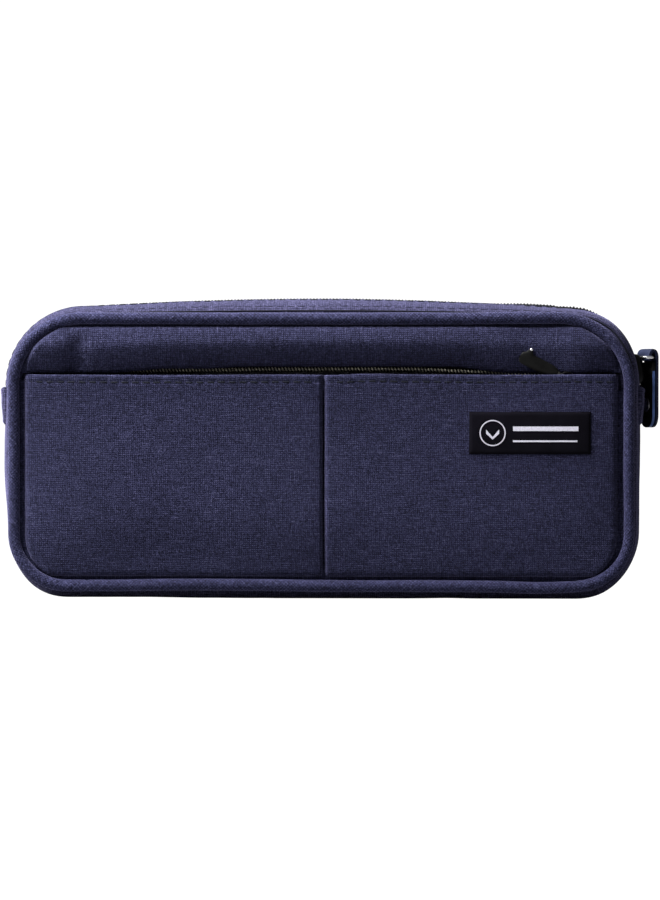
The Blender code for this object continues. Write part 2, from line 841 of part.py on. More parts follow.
def wire_loop(name, corners, frame, radius, material_name):
    """A closed wire through corners (u, v), round in section."""
    count = len(corners)
    rings = []
    for i in range(count):
        before = Vector(corners[i - 1])
        here = Vector(corners[i])
        after = Vector(corners[(i + 1) % count])
        run = (after - before).normalized()
        out = Vector((run.y, -run.x))
        bend = (here - before).normalized().dot(run)
        ring = []
        for k in range(8):
            turn = math.tau * k / 8
            reach = radius * math.cos(turn) / max(0.5, bend)
            spot = here + out * reach
            ring.append(frame(spot.x, spot.y, radius * math.sin(turn)))
        rings.append(ring)
    return loft(name, rings, material_name, closed=True)


def rounded_loop(length, half, corner, steps):
    """Corners of a rounded rectangle from u = 0 to length and v = -half to half."""
    centres = (
        (length - corner, half - corner, 0),
        (corner, half - corner, 90),
        (corner, corner - half, 180),
        (length - corner, corner - half, 270),
    )
    points = []
    for u, v, start in centres:
        for i in range(steps + 1):
            turn = math.radians(start + 90 * i / steps)
            points.append((u + corner * math.cos(turn), v + corner * math.sin(turn)))
    return points


def main_slider():
    pivot, along = main_pivot()
    body = slider(
        "main_slider_body",
        main_frame,
        MAIN_SLIDER_HALF_WIDTH,
        MAIN_SLIDER_FOOT,
        MAIN_PLATE_LOW,
        MAIN_PLATE_HIGH,
    )
    arch = bridge("main_slider_bridge", main_frame, along, MAIN_PLATE_HIGH, MAIN_BRIDGE_REACH)
    boolean(body, arch, "UNION")
    set_origin(body, (TOP_CORNER_X, 0, TOP_CORNER_Z))
    loop = rounded_loop(RING_LENGTH, RING_HALF_WIDTH, RING_CORNER, 3)
    ring = wire_loop("main_pull_ring", loop, pull_frame, WIRE_RADIUS, "silver_metal")
    set_origin(ring, pivot)


def pull_section(rows, widths, inner, outer):
    """Rings of a flat leather layer: rows of height, half widths, and its two faces."""
    rings = []
    for up, w in zip(rows, widths):
        corners = ((inner, -w), (inner, w), (outer, w), (outer, -w))
        rings.append([pull_frame(out, across, up) for out, across in corners])
    return rings


def fold_rings(inside, outside, short_leg):
    """The tab's upper part: its short leg and the half turn round the ring's bar."""
    w = TAB_HALF_WIDTH
    lines = [((RING_LENGTH - inside, short_leg), (RING_LENGTH - outside, short_leg))]
    for i in range(9):
        turn = math.pi * (1 - i / 8)
        c, s = math.cos(turn), math.sin(turn)
        lines.append(((RING_LENGTH + inside * c, inside * s), (RING_LENGTH + outside * c, outside * s)))
    rings = []
    for (a, low), (b, high) in lines:
        points = ((a, -w, low), (a, w, low), (b, w, high), (b, -w, high))
        rings.append([pull_frame(*point) for point in points])
    return rings


def main_pull():
    """A strip folded over the ring's outer bar, its black facing and the rivet through both."""
    level = main_pivot()[0][2]
    inside = WIRE_RADIUS + GAP
    outside = inside + TAB_LAYER
    w = TAB_HALF_WIDTH
    foot = [(TAB_LOW_Z - level + up, w * share) for up, share in TAB_FOOT]
    rows = [up for up, _ in foot]
    widths = [wide for _, wide in foot]
    rings = fold_rings(inside, outside, TAB_SHORT_LEG_Z - level)
    rings += pull_section(rows, widths, RING_LENGTH + inside, RING_LENGTH + outside)
    tab = loft("main_pull_tab", rings, "navy_leather")
    outer = RING_LENGTH + inside - GAP
    inner = outer - TAB_LAYER
    top = TAB_SHORT_LEG_Z - level - 1.5
    rings = pull_section([top, top - 1, *rows], [w * 0.9, w, *widths], inner, outer)
    facing = loft("main_pull_facing", rings, "black_leather")
    low = inner - GAP
    high = RING_LENGTH + outside + GAP
    rivet = main_rivet(tab, facing, TAB_RIVET_Z - level, low, high)
    bar = pull_frame(RING_LENGTH, 0, 0)
    for part in (tab, facing, rivet):
        set_origin(part, bar)


def main_rivet(tab, facing, height, low, high):
    """The rivet's two caps and shank, and the holes for it."""

    def rivet_frame(u, v, h):
        return pull_frame(h, u, height + v)

    room = TAB_RIVET_SHANK + GAP
    hole = ((room, low - 1), (room, high + 1))
    for part, number in ((tab, 1), (facing, 2)):
        cutter = revolve(f"main_pull_rivet_hole_{number}", hole, rivet_frame, "silver_metal", 16)
        boolean(part, cutter, "DIFFERENCE")
    r = TAB_RIVET_RADIUS
    profile = [(r * share, low - out) for share, out in reversed(TAB_RIVET_CAP)]
    profile += [(TAB_RIVET_SHANK, low), (TAB_RIVET_SHANK, high)]
    profile += [(r * share, high + out) for share, out in TAB_RIVET_CAP]
    return revolve("main_pull_rivet", profile, rivet_frame, "silver_metal")


def pocket_frame(along, across, out):
    """Along the pocket zip to the left, across it upwards and out to the front."""
    run = math.hypot(1, POCKET_ZIP_SLOPE)
    x = POCKET_SLIDER_X - (along + POCKET_ZIP_SLOPE * across) / run
    z = zip_height(POCKET_SLIDER_X) + (across - POCKET_ZIP_SLOPE * along) / run
    return x, POCKET_TAPE_Y - out, z


def torus(name, frame, wire, material_name, sides=8):
    """The round jump ring, or the room that its wire needs, about the origin of frame(u, v, h)."""
    rings = []
    for i in range(24):
        turn = math.tau * i / 24
        ring = []
        for k in range(sides):
            bend = math.tau * k / sides
            reach = LINK_RADIUS + wire * math.cos(bend)
            ring.append(frame(reach * math.cos(turn), reach * math.sin(turn), wire * math.sin(bend)))
        rings.append(ring)
    return loft(name, rings, material_name, closed=True)


def link_frame(u, v, h):
    """The pocket pull's own axes, turned by its rise about the jump ring's centre."""
    turn = math.radians(PULL_RISE)
    along = LINK_RADIUS + u * math.cos(turn) - v * math.sin(turn)
    across = u * math.sin(turn) + v * math.cos(turn)
    return pocket_frame(along, across, POCKET_WIRE_OUT + h)


def pocket_slider():
    body = slider(
        "pocket_slider_body",
        pocket_frame,
        POCKET_SLIDER_HALF_WIDTH,
        POCKET_SLIDER_FOOT,
        POCKET_PLATE_LOW,
        POCKET_PLATE_HIGH,
    )
    arch = bridge(
        "pocket_slider_bridge", pocket_frame, 0.0, POCKET_PLATE_HIGH, POCKET_BRIDGE_REACH
    )
    boolean(body, arch, "UNION")
    set_origin(body, pocket_frame(0, 0, 0))
    link = torus("pocket_pull_link", link_frame, LINK_WIRE, "black_metal")
    set_origin(link, pocket_frame(0, 0, POCKET_WIRE_OUT))


def pocket_pull():
    """A leaf of leather, its neck folded round the jump ring, and a rivet near its tip."""
    neck = NECK_THICKNESS / 2
    half = PULL_THICKNESS / 2
    wide = PULL_HALF_WIDTH
    shape = (
        (LINK_RADIUS - 1.0, NECK_HALF_WIDTH, neck),
        (LINK_RADIUS + 1.2, NECK_HALF_WIDTH, neck),
        (LINK_RADIUS + 2.2, wide * 0.6, half),
        (LINK_RADIUS + 4.0, wide * 0.95, half),
        (PULL_LENGTH - 8.0, wide, half),
        (PULL_LENGTH - 2.4, wide, half),
        (PULL_LENGTH - 0.7, wide * 0.88, half),
        (PULL_LENGTH, wide * 0.6, half),
    )
    rings = []
    for u, w, thick in shape:
        lean = PULL_LEAN * max(0.0, u - LINK_RADIUS - 1.2)
        corners = ((-w, lean - thick), (w, lean - thick), (w, lean + thick), (-w, lean + thick))
        rings.append([link_frame(u, v, h) for v, h in corners])
    tab = loft("pocket_pull_tab", rings, "black_leather")
    room = torus("pocket_pull_link_room", link_frame, LINK_WIRE + GAP, "black_metal")
    boolean(tab, room, "DIFFERENCE")
    place = PULL_LENGTH - PULL_RIVET_INSET
    low = half + GAP + PULL_LEAN * (place - LINK_RADIUS)

    def rivet_frame(u, v, h):
        return link_frame(place + u, PULL_RIVET_ASIDE + v, h)

    profile = [(radius, low + out) for radius, out in PULL_RIVET_PROFILE]
    rivet = revolve("pocket_pull_rivet", profile, rivet_frame, "silver_metal", 12)
    for part in (tab, rivet):
        set_origin(part, link_frame(0, 0, 0))


def build():
    clear_scene()
    gusset()
    side_tabs()
    piping("front", -PIPING_Y)
    piping("back", PIPING_Y)
    front_panels()
    slip_pockets()
    pocket_zip()
    inner_layers()
    back_panel()
    interior_pockets()
    label()
    main_slider()
    main_pull()
    pocket_slider()
    pocket_pull()


build()
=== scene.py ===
"""Looks of a zipped, piped canvas travel document organizer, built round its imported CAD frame."""

import json
import math

import bmesh
import bpy
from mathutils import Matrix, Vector, noise


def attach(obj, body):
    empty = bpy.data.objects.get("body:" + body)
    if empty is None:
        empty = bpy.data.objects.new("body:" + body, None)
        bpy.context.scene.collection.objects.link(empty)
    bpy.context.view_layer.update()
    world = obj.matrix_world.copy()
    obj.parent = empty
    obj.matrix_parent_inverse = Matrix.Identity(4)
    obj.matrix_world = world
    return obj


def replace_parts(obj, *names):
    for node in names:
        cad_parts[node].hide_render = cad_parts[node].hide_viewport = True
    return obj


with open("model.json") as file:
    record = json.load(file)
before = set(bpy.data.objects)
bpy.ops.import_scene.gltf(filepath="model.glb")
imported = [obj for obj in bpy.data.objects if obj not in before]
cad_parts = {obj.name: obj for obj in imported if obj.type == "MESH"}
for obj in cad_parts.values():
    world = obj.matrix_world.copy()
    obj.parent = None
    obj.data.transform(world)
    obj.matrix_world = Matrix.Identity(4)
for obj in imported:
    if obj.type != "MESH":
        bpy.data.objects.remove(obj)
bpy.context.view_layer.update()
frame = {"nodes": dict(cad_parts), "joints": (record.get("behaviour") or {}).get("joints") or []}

MM = 0.001

# The pouch's outline and its inner one, in millimetres, close to the CAD's
TOP_X, TOP_Z = 95.2, 86.0
BOTTOM_X, BOTTOM_Z = 102.2, 26.6
PIPING_Y, PIPING_RADIUS = 18.3, 2.4
WELT_ARCH = -0.3
PIPING_SIDE, PIPING_LOW, PIPING_HIGH = 123.1, 5.6, 112.8
GUSSET_HALF = 15.9
EDGE_SIDE, EDGE_LOW, EDGE_HIGH = 123.6, 3.2, 113.4
CROWN_SIDE, CROWN_HIGH, CROWN_ARCH = 3.0, 4.0, 3.1
PIPING_ARCH = 0.4
PANEL_SIDE, PANEL_LOW, PANEL_HIGH = 121.6, 7.2, 111.2
INNER_SIDE, INNER_LOW, INNER_HIGH = 118.4, 10.6, 107.8

# Where the zips, the hem, the seams and the stitching run, in millimetres
ZIP_SLOPE, ZIP_HALF = -0.0205, 117.0
TAPE_Y = -13.3
HEM_TOP = 90.3
STITCH_Z = 87.3
SEAM_X = 1.4
SLOT_HALF = 4.9
TOOTH_PITCH = 1.33
STITCH_PITCH = 4.3
# The last of these is the depth of a dark thread laid as painted shade behind the piping
EDGE_STITCH_Y, ZIP_STITCH_Y, SHADE_LINE_Y = 12.1, 6.6, 14.0
SLIDER_ARC = 31.4
COIL_Y = -15.9
GUSSET_END_Z = 85.4

# The camera's distance, its picture's width, and where the lamps point, in metres
CAMERA_DISTANCE, CAMERA_WIDTH = 1.4, 0.264
STUDIO_AIM = (0.0, 0.0, 0.06)

# The pocket zip's line, (x, z), which dips towards the right end
ZIP_LINE = (
    (-125, 92.4), (-72, 91.0), (-40, 91.15), (-20, 91.5), (36, 91.45),
    (62, 90.5), (80, 89.4), (101, 88.5), (125, 88.1),
)

# The main pull in millimetres: its ring, then its tab. PAINT_TOP is in metres
RING_LENGTH, RING_HALF, RING_CORNER, RING_WIRE = 3.9, 6.4, 1.7, 0.65
RING_TURN, TAB_TURN = math.radians(20.0), math.radians(21.0)
TAB_INSIDE, TAB_THICK, TAB_HALF = 0.95, 1.3, 5.9
TAB_FOOT_Z, TAB_ROUND, TAB_RIVET_Z = 68.8, 5.2, 78.0
FACING_GAP, FACING_THICK, PAINT_TOP = 0.3, 1.3, 0.0915
STRAP_SHARES = (-1, -0.96, -0.88, -0.6, -0.2, 0.2, 0.6, 0.88, 0.96, 1)

# The label on the right-hand pocket, and how far it and its print stand out
LABEL_LEFT, LABEL_RIGHT, LABEL_LOW, LABEL_HIGH = 59.5, 107.9, 58.5, 75.3
LABEL_LIFT, PRINT_LIFT = 0.85, 1.0

# How far the filled pouch pushes its gusset out past the CAD's, along each segment
SWELL = {
    "bottom": (-0.5, 0.0, 0.0),
    "right_low": (0.0, 1.0, 1.7),
    "right": (1.7, 1.9, 2.0),
    "right_high": (2.0, 2.9, 0.3),
    "top": (0.3, 0.9, 0.9),
    "left_high": (0.9, 1.2, 1.4),
    "left": (1.4, 2.1, 0.6),
    "left_low": (0.6, 0.2, -0.5),
}

SEGMENTS = (
    ("bottom", 204.4), ("right_low", 38.0), ("right", 59.4), ("right_high", 47.0),
    ("top", 190.6), ("left_high", 47.0), ("left", 59.4), ("left_low", 38.0),
)
NAMES = [name for name, _ in SEGMENTS]


# ---------------------------------------------------------------- meshes


def lerp(a, b, t):
    return a + (b - a) * t


def spread(low, high, count):
    return [lerp(low, high, i / (count - 1)) for i in range(count)]


def turns(count):
    """Angles evenly round a circle."""
    return [math.tau * k / count for k in range(count)]


def smooth_step(low, high, value):
    t = min(1.0, max(0.0, (value - low) / (high - low)))
    return t * t * (3 - 2 * t)


def bell(distance, width):
    return math.exp(-((distance / width) ** 2))


def rough(x, y, z, size, seed=0.0):
    """Smooth noise from -1 to 1, with features of that size in millimetres."""
    return noise.noise(Vector((x / size + seed, y / size + 7.3 * seed, z / size - seed)))


def mesh_object(name, points, faces, uvs, material, body, sharp=50):
    """A piece with one UV for each point, its faces looking outwards."""
    mesh = bpy.data.meshes.new(name)
    mesh.from_pydata([(x * MM, y * MM, z * MM) for x, y, z in points], [], faces)
    layer = mesh.uv_layers.new(name="weave")
    flat = [0.0] * (2 * len(mesh.loops))
    for i, loop in enumerate(mesh.loops):
        u, v = uvs[loop.vertex_index]
        flat[2 * i] = u
        flat[2 * i + 1] = v
    layer.data.foreach_set("uv", flat)
    shape = bmesh.new()
    shape.from_mesh(mesh)
    bmesh.ops.recalc_face_normals(shape, faces=shape.faces)
    limit = math.radians(sharp)
    for face in shape.faces:
        face.smooth = True
    for edge in shape.edges:
        if len(edge.link_faces) == 2 and edge.calc_face_angle(0.0) > limit:
            edge.smooth = False
    shape.to_mesh(mesh)
    shape.free()
    mesh.materials.append(material)
    piece = bpy.data.objects.new(name, mesh)
    bpy.context.scene.collection.objects.link(piece)
    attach(piece, body)
    return piece


def grid_solid(name, outer, inner, uv, material, body="shell"):
    """A thin closed solid between two grids of points [i][j]."""
    rows, columns = len(outer), len(outer[0])
    points = [p for row in outer for p in row] + [p for row in inner for p in row]
    uvs = [t for row in uv for t in row] * 2
    half = rows * columns
    faces = []
    for i in range(rows - 1):
        for j in range(columns - 1):
            a = i * columns + j
            b = a + columns
            faces.append((a, a + 1, b + 1, b))
            faces.append((half + a, half + b, half + b + 1, half + a + 1))
    rim = [j for j in range(columns)]
    rim += [i * columns + columns - 1 for i in range(1, rows)]
    rim += [(rows - 1) * columns + j for j in range(columns - 2, -1, -1)]
    rim += [i * columns for i in range(rows - 2, 0, -1)]
    for k, a in enumerate(rim):
        b = rim[(k + 1) % len(rim)]
        faces.append((a, half + a, half + b, b))
    return mesh_object(name, points, faces, uvs, material, body)


def tube(name, rings, uv, material, body="shell", closed=False, sharp=50):
    """Rings of points joined into a solid, capped unless it is closed."""
    size = len(rings[0])
    points = [p for ring in rings for p in ring]
    uvs = [t for row in uv for t in row]
    faces = []
    for i in range(len(rings) if closed else len(rings) - 1):
        a = i * size
        b = (i + 1) % len(rings) * size
        for j in range(size):
            k = (j + 1) % size
            faces.append((a + j, a + k, b + k, b + j))
    if not closed:
        faces.append(tuple(range(size))[::-1])
        faces.append(tuple((len(rings) - 1) * size + j for j in range(size)))
    return mesh_object(name, points, faces, uvs, material, body, sharp)


def joined(name, parts, material):
    """Many small closed shapes, each (points, faces), as one piece."""
    points, faces = [], []
    for some, their in parts:
        start = len(points)
        points += some
        faces += [tuple(start + k for k in f) for f in their]
    uvs = [(p[0], p[2]) for p in points]
    return mesh_object(name, points, faces, uvs, material, "shell")


def capsule(a, b, up, radius, sides=6, flat=0.8):
    """A short, slightly flat thread from a to b with rounded ends, as (points, faces)."""
    a, b, up = Vector(a), Vector(b), Vector(up).normalized()
    run = (b - a).normalized()
    side = run.cross(up).normalized()
    up = side.cross(run)
    points, faces = [], []
    shape = ((0.0, 0.35), (0.08, 0.8), (0.3, 1.0), (0.7, 1.0), (0.92, 0.8), (1.0, 0.35))
    for share, size in shape:
        centre = a.lerp(b, share)
        for turn in turns(sides):
            spot = centre + side * math.cos(turn) * radius * size
            spot += up * math.sin(turn) * radius * size * flat
            points.append(tuple(spot))
    for i in range(len(shape) - 1):
        for k in range(sides):
            n = (k + 1) % sides
            faces.append((i * sides + k, i * sides + n, (i + 1) * sides + n, (i + 1) * sides + k))
    faces.append(tuple(range(sides))[::-1])
    faces.append(tuple((len(shape) - 1) * sides + k for k in range(sides)))
    return points, faces


def stitches(name, line, material, radius=0.34):
    """A row of stitches along line(distance) -> (point, outward), until it gives None."""
    parts = []
    distance = STITCH_PITCH * 0.3
    count = 0
    while True:
        first = line(distance)
        last = line(distance + STITCH_PITCH * 0.66)
        if first is None or last is None:
            break
        drift = 0.12 * rough(count, 0, 0, 2.3, 4.1)
        lift = Vector(first[1]).normalized() * (radius * 0.15)
        a = Vector(first[0]) + lift
        b = Vector(last[0]) + lift
        across = (b - a).normalized().cross(Vector(first[1])).normalized()
        parts.append(capsule(a + across * drift, b - across * drift, first[1], radius))
        distance += STITCH_PITCH
        count += 1
    return joined(name, parts, material)


# ---------------------------------------------------------------- outline


def outline_point(segment, t, side, low, high, arch):
    """The point (x, z) at the share t of a segment of the rounded outline."""
    turn = math.radians(90 * t)
    if segment == "bottom":
        return lerp(-BOTTOM_X, BOTTOM_X, t), low
    if segment == "right_low":
        x = BOTTOM_X + (side - BOTTOM_X) * math.sin(turn)
        return x, BOTTOM_Z - (BOTTOM_Z - low) * math.cos(turn)
    if segment == "right":
        return side, lerp(BOTTOM_Z, TOP_Z, t)
    if segment == "right_high":
        x = TOP_X + (side - TOP_X) * math.cos(turn)
        return x, TOP_Z + (high - TOP_Z) * math.sin(turn)
    if segment == "top":
        x = lerp(TOP_X, -TOP_X, t)
        return x, high + arch * (1 - (x / TOP_X) ** 2)
    if segment == "left_high":
        x = -TOP_X - (side - TOP_X) * math.sin(turn)
        return x, TOP_Z + (high - TOP_Z) * math.cos(turn)
    if segment == "left":
        return -side, lerp(TOP_Z, BOTTOM_Z, t)
    x = -BOTTOM_X - (side - BOTTOM_X) * math.cos(turn)
    return x, BOTTOM_Z - (BOTTOM_Z - low) * math.sin(turn)


def stations(start, end, step):
    """Places (segment, t) along the outline about that step apart, anticlockwise."""
    places = [start]
    number = NAMES.index(start[0])
    t_from = start[1]
    for _ in range(len(SEGMENTS) + 1):
        name, length = SEGMENTS[number]
        last = name == end[0] and end[1] > t_from
        t_to = end[1] if last else 1.0
        steps = max(1, round(length * (t_to - t_from) / step))
        places += [(name, lerp(t_from, t_to, i / steps)) for i in range(1, steps + 1)]
        if last:
            break
        number = (number + 1) % len(SEGMENTS)
        t_from = 0.0
    return places


def side_place(z, right):
    t = (z - BOTTOM_Z) / (TOP_Z - BOTTOM_Z)
    return ("right", t) if right else ("left", 1 - t)


def crown(y):
    """The gusset's arch across its depth, from 0 at its seams to 1."""
    return max(0.0, 1 - (abs(y) / GUSSET_HALF) ** 2.2)


def swell(place, y):
    """The gusset's bulge: none at its seams, nor where the main slider rides."""
    segment, t = place
    first, middle, last = SWELL[segment]
    if t < 0.5:
        amount = lerp(first, middle, smooth_step(0, 0.5, t))
    else:
        amount = lerp(middle, last, smooth_step(0.5, 1, t))
    depth = abs(y)
    amount *= smooth_step(GUSSET_HALF, GUSSET_HALF - 3, depth)
    if segment == "right_high":
        amount *= smooth_step(5.2, 8.5, depth)
    return amount


def gusset_size(y, inset):
    """The outline's side, low, high and arch at that depth."""
    c = crown(y)
    low = EDGE_LOW * max(0.0, 1 - 1.6 * c) + inset
    high = EDGE_HIGH + CROWN_HIGH * c - inset
    return EDGE_SIDE + CROWN_SIDE * c - inset, low, high, PIPING_ARCH + (CROWN_ARCH - 0.4) * c


def gusset_point(place, y, inset):
    x, z = outline_point(*place, *gusset_size(y, inset - swell(place, y)))
    return x, y, max(0.03, z)


def gusset_normal(place, y):
    """Outwards from the gusset's cloth at a place."""
    here = Vector(gusset_point(place, y, 0))
    out = Vector(gusset_point(place, y, -1)) - here
    out.y = 0.0
    out.normalize()
    slope = (crown(y + 0.2) - crown(y - 0.2)) / 0.4 * 3.4
    return (out + Vector((0, -slope, 0))).normalized()


def lengths(places, y=0.0):
    """Distance along the outline at each place."""
    total, found = 0.0, []
    before = None
    for place in places:
        here = Vector(gusset_point(place, y, 0))
        if before is not None:
            total += (here - before).length
        found.append(total)
        before = here
    return found


def between(marks, distance):
    """The stations before and after a distance, and the share of the way between them."""
    low, high = 0, len(marks) - 1
    while high - low > 1:
        middle = (low + high) // 2
        if marks[middle] <= distance:
            low = middle
        else:
            high = middle
    return low, high, (distance - marks[low]) / max(1e-6, marks[high] - marks[low])


def along_gusset(places, y, lift):
    """line(distance) for a row of stitches along the gusset."""
    marks = lengths(places, y)

    def line(distance):
        if distance > marks[-1]:
            return None
        low, high, share = between(marks, distance)
        a = Vector(gusset_point(places[low], y, -lift))
        b = Vector(gusset_point(places[high], y, -lift))
        return a.lerp(b, share), gusset_normal(places[low], y)

    return line


# ---------------------------------------------------------------- materials


class Graph:
    """A material's nodes, added one after another."""

    def __init__(self, name):
        self.material = bpy.data.materials.new(name)
        self.material.use_nodes = True
        self.nodes = self.material.node_tree.nodes
        self.links = self.material.node_tree.links
        self.shader = self.nodes["Principled BSDF"]

    def put(self, kind, inputs=(), **settings):
        node = self.nodes.new(kind)
        for key, value in settings.items():
            setattr(node, key, value)
        for key, value in dict(inputs).items():
            if hasattr(value, "is_output"):
                self.links.new(value, node.inputs[key])
            else:
                node.inputs[key].default_value = value
        return node

    def calc(self, operation, *values):
        return self.put("ShaderNodeMath", enumerate(values), operation=operation).outputs[0]

    def times(self, a, b):
        return self.calc("MULTIPLY", a, b)

    def plus(self, a, b):
        return self.calc("ADD", a, b)

    def place(self):
        """The weave's u and v, in millimetres."""
        out = self.put("ShaderNodeUVMap", uv_map="weave").outputs[0]
        split = self.put("ShaderNodeSeparateXYZ", {0: out})
        return split.outputs[0], split.outputs[1]

    def vector(self, u, v, w=0.0):
        return self.put("ShaderNodeCombineXYZ", {0: u, 1: v, 2: w}).outputs[0]

    def noise(self, vector, scale=1.0, detail=2.0, roughness=0.5):
        inputs = {"Vector": vector, "Scale": scale, "Detail": detail, "Roughness": roughness}
        return self.put("ShaderNodeTexNoise", inputs).outputs[0]

    def object_space(self):
        return self.put("ShaderNodeTexCoord").outputs["Object"]

    def spread(self, value, low, high, to_low=0.0, to_high=1.0, smooth=False):
        kind = "SMOOTHSTEP" if smooth else "LINEAR"
        node = self.put("ShaderNodeMapRange", {0: value, 1: low, 2: high, 3: to_low, 4: to_high})
        node.interpolation_type = kind
        return node.outputs[0]

    def ramp(self, value, stops):
        node = self.put("ShaderNodeValToRGB", {0: value})
        elements = node.color_ramp.elements
        while len(elements) < len(stops):
            elements.new(0.5)
        for element, (position, colour) in zip(elements, stops):
            element.position = position
            element.color = (*colour, 1.0)
        return node.outputs[0]

    def bump(self, height, strength, distance):
        inputs = {"Height": height, "Strength": strength, "Distance": distance}
        node = self.put("ShaderNodeBump", inputs)
        self.links.new(node.outputs[0], self.shader.inputs["Normal"])

    def colour(self, socket):
        self.links.new(socket, self.shader.inputs["Base Color"])

    def set(self, **values):
        for key, value in values.items():
            name = key.replace("_", " ")
            if hasattr(value, "is_output"):
                self.links.new(value, self.shader.inputs[name])
            else:
                self.shader.inputs[name].default_value = value


def scaled(colour, share):
    return tuple(c * share for c in colour)


def canvas(name, base, turn=0.0, pitch=0.82, slub=1.0, contrast=1.0):
    """Heathered plain-woven canvas: threads over and under, pale slubs and dark flecks."""
    g = Graph(name)
    u, v = g.place()
    if turn:
        c, s = math.cos(math.radians(turn)), math.sin(math.radians(turn))
        u, v = (
            g.plus(g.times(u, c), g.times(v, -s)),
            g.plus(g.times(u, s), g.times(v, c)),
        )
    wander = g.noise(g.vector(g.times(u, 0.09), g.times(v, 0.09)), 1.0, 1.0)
    wander = g.times(g.calc("SUBTRACT", wander, 0.5), 1.6)
    uu = g.plus(u, wander)
    vv = g.plus(v, wander)
    warp_wave = g.calc("SINE", g.times(uu, math.pi / pitch))
    weft_wave = g.calc("SINE", g.times(vv, math.pi / (pitch * 0.94)))
    over = g.times(warp_wave, weft_wave)
    warp = g.vector(g.times(uu, 1.15 / pitch), g.times(vv, 0.24), 3.0)
    warp = g.noise(warp, 1.0, 2.0, 0.6)
    weft = g.vector(g.times(uu, 0.15), g.times(vv, 1.1 / pitch), 9.0)
    weft = g.noise(weft, 1.0, 2.0, 0.62)
    mask = g.spread(over, -0.3, 0.3, 0.0, 1.0, True)
    under = g.calc("SUBTRACT", 1.0, mask)
    thread = g.plus(g.times(warp, mask), g.times(weft, under))
    fine = g.noise(g.vector(uu, vv, 1.0), 1.35, 2.0, 0.7)
    tone = g.plus(g.times(thread, 0.5), g.times(fine, 0.5))
    tone = g.spread(tone, 0.5 - 0.15 / contrast, 0.5 + 0.15 / contrast)
    depth = g.calc("ABSOLUTE", over)
    tone = g.plus(g.times(tone, 0.72), g.times(depth, 0.30))
    slubs = g.spread(weft, 0.64, 0.76, 0.0, 0.35 * slub, True)
    tone = g.plus(tone, slubs)
    broad = g.vector(g.times(u, 0.02), g.times(v, 0.03), 5.0)
    broad = g.calc("SUBTRACT", g.noise(broad, 1.0, 2.0), 0.5)
    tone = g.plus(tone, g.times(broad, 0.25))
    pale = (base[0] * 3.0, base[1] * 2.9, base[2] * 2.4)
    stops = ((0.08, scaled(base, 0.22)), (0.38, scaled(base, 0.68)), (0.62, scaled(base, 1.3)), (1.0, pale))
    g.colour(g.ramp(tone, stops))
    height = g.plus(g.times(depth, 0.7), g.times(thread, 0.6))
    height = g.plus(height, g.times(fine, 0.4))
    g.bump(height, 0.55, 0.0004)
    g.set(Roughness=0.92, Sheen_Weight=0.16, Sheen_Roughness=0.45)
    g.set(Sheen_Tint=(0.56, 0.54, 0.98, 1.0), Specular_IOR_Level=0.03)
    return g.material


def lining(name, base):
    """Smooth woven nylon with a fine ripstop line."""
    g = Graph(name)
    u, v = g.place()
    weave = g.times(g.calc("SINE", g.times(u, 14.0)), g.calc("SINE", g.times(v, 14.0)))
    cloud = g.noise(g.vector(g.times(u, 0.05), g.times(v, 0.05)), 1.0, 3.0)
    g.colour(g.ramp(cloud, ((0.3, scaled(base, 0.7)), (0.7, scaled(base, 1.4)))))
    g.bump(g.plus(g.times(weave, 0.3), cloud), 0.3, 0.0003)
    g.set(Roughness=0.62, Sheen_Weight=0.1)
    return g.material


def foam(name):
    g = Graph(name)
    cells = g.put("ShaderNodeTexVoronoi", {"Vector": g.object_space(), "Scale": 900.0}).outputs[0]
    cloud = g.noise(g.object_space(), 60.0, 3.0)
    g.colour(g.ramp(cloud, ((0.3, (0.20, 0.20, 0.21)), (0.7, (0.30, 0.30, 0.31)))))
    g.bump(cells, 0.5, 0.0005)
    g.set(Roughness=0.95)
    return g.material


def twisted_cord(name):
    g = Graph(name)
    u, v = g.place()
    strand = g.calc("SINE", g.times(g.plus(u, g.times(v, 1.2)), 4.5))
    g.colour(g.ramp(g.spread(strand, -1.0, 1.0), ((0.0, (0.36, 0.35, 0.32)), (1.0, (0.62, 0.61, 0.57)))))
    g.bump(strand, 0.5, 0.0003)
    g.set(Roughness=0.85)
    return g.material


def zip_nylon(name):
    """Matte black nylon tape with fine ribs."""
    g = Graph(name)
    u, _ = g.place()
    rib = g.calc("SINE", g.times(u, 7.5))
    speck = g.noise(g.object_space(), 1400.0, 2.0)
    g.colour(g.ramp(speck, ((0.35, (0.006, 0.006, 0.008)), (0.7, (0.018, 0.018, 0.022)))))
    g.bump(g.plus(rib, speck), 0.35, 0.00012)
    g.set(Roughness=g.spread(speck, 0.3, 0.7, 0.6, 0.8))
    g.set(Specular_IOR_Level=0.12)
    return g.material


def coil_nylon(name, low, high, shine):
    """Smooth nylon wire of the teeth, between two colours."""
    g = Graph(name)
    speck = g.noise(g.object_space(), 900.0, 2.0)
    g.colour(g.ramp(speck, ((0.35, low), (0.7, high))))
    g.bump(speck, 0.15, 0.00005)
    g.set(Roughness=g.spread(speck, 0.3, 0.7, 0.22, 0.36))
    g.set(Specular_IOR_Level=shine)
    return g.material


def leather(name, base, shine):
    """Smooth leather with a small closed grain and an uneven shine."""
    g = Graph(name)
    space = g.object_space()
    cells = g.put("ShaderNodeTexVoronoi", {"Vector": space, "Scale": 1100.0}).outputs[0]
    cloud = g.noise(space, 180.0, 4.0, 0.6)
    g.colour(g.ramp(cloud, ((0.3, scaled(base, 0.7)), (0.75, scaled(base, 1.7)))))
    g.bump(g.plus(g.times(cells, 0.8), cloud), 0.35, 0.00012)
    g.set(Roughness=g.spread(cloud, 0.3, 0.7, shine - 0.1, shine + 0.14))
    g.set(Specular_IOR_Level=0.10)
    return g.material


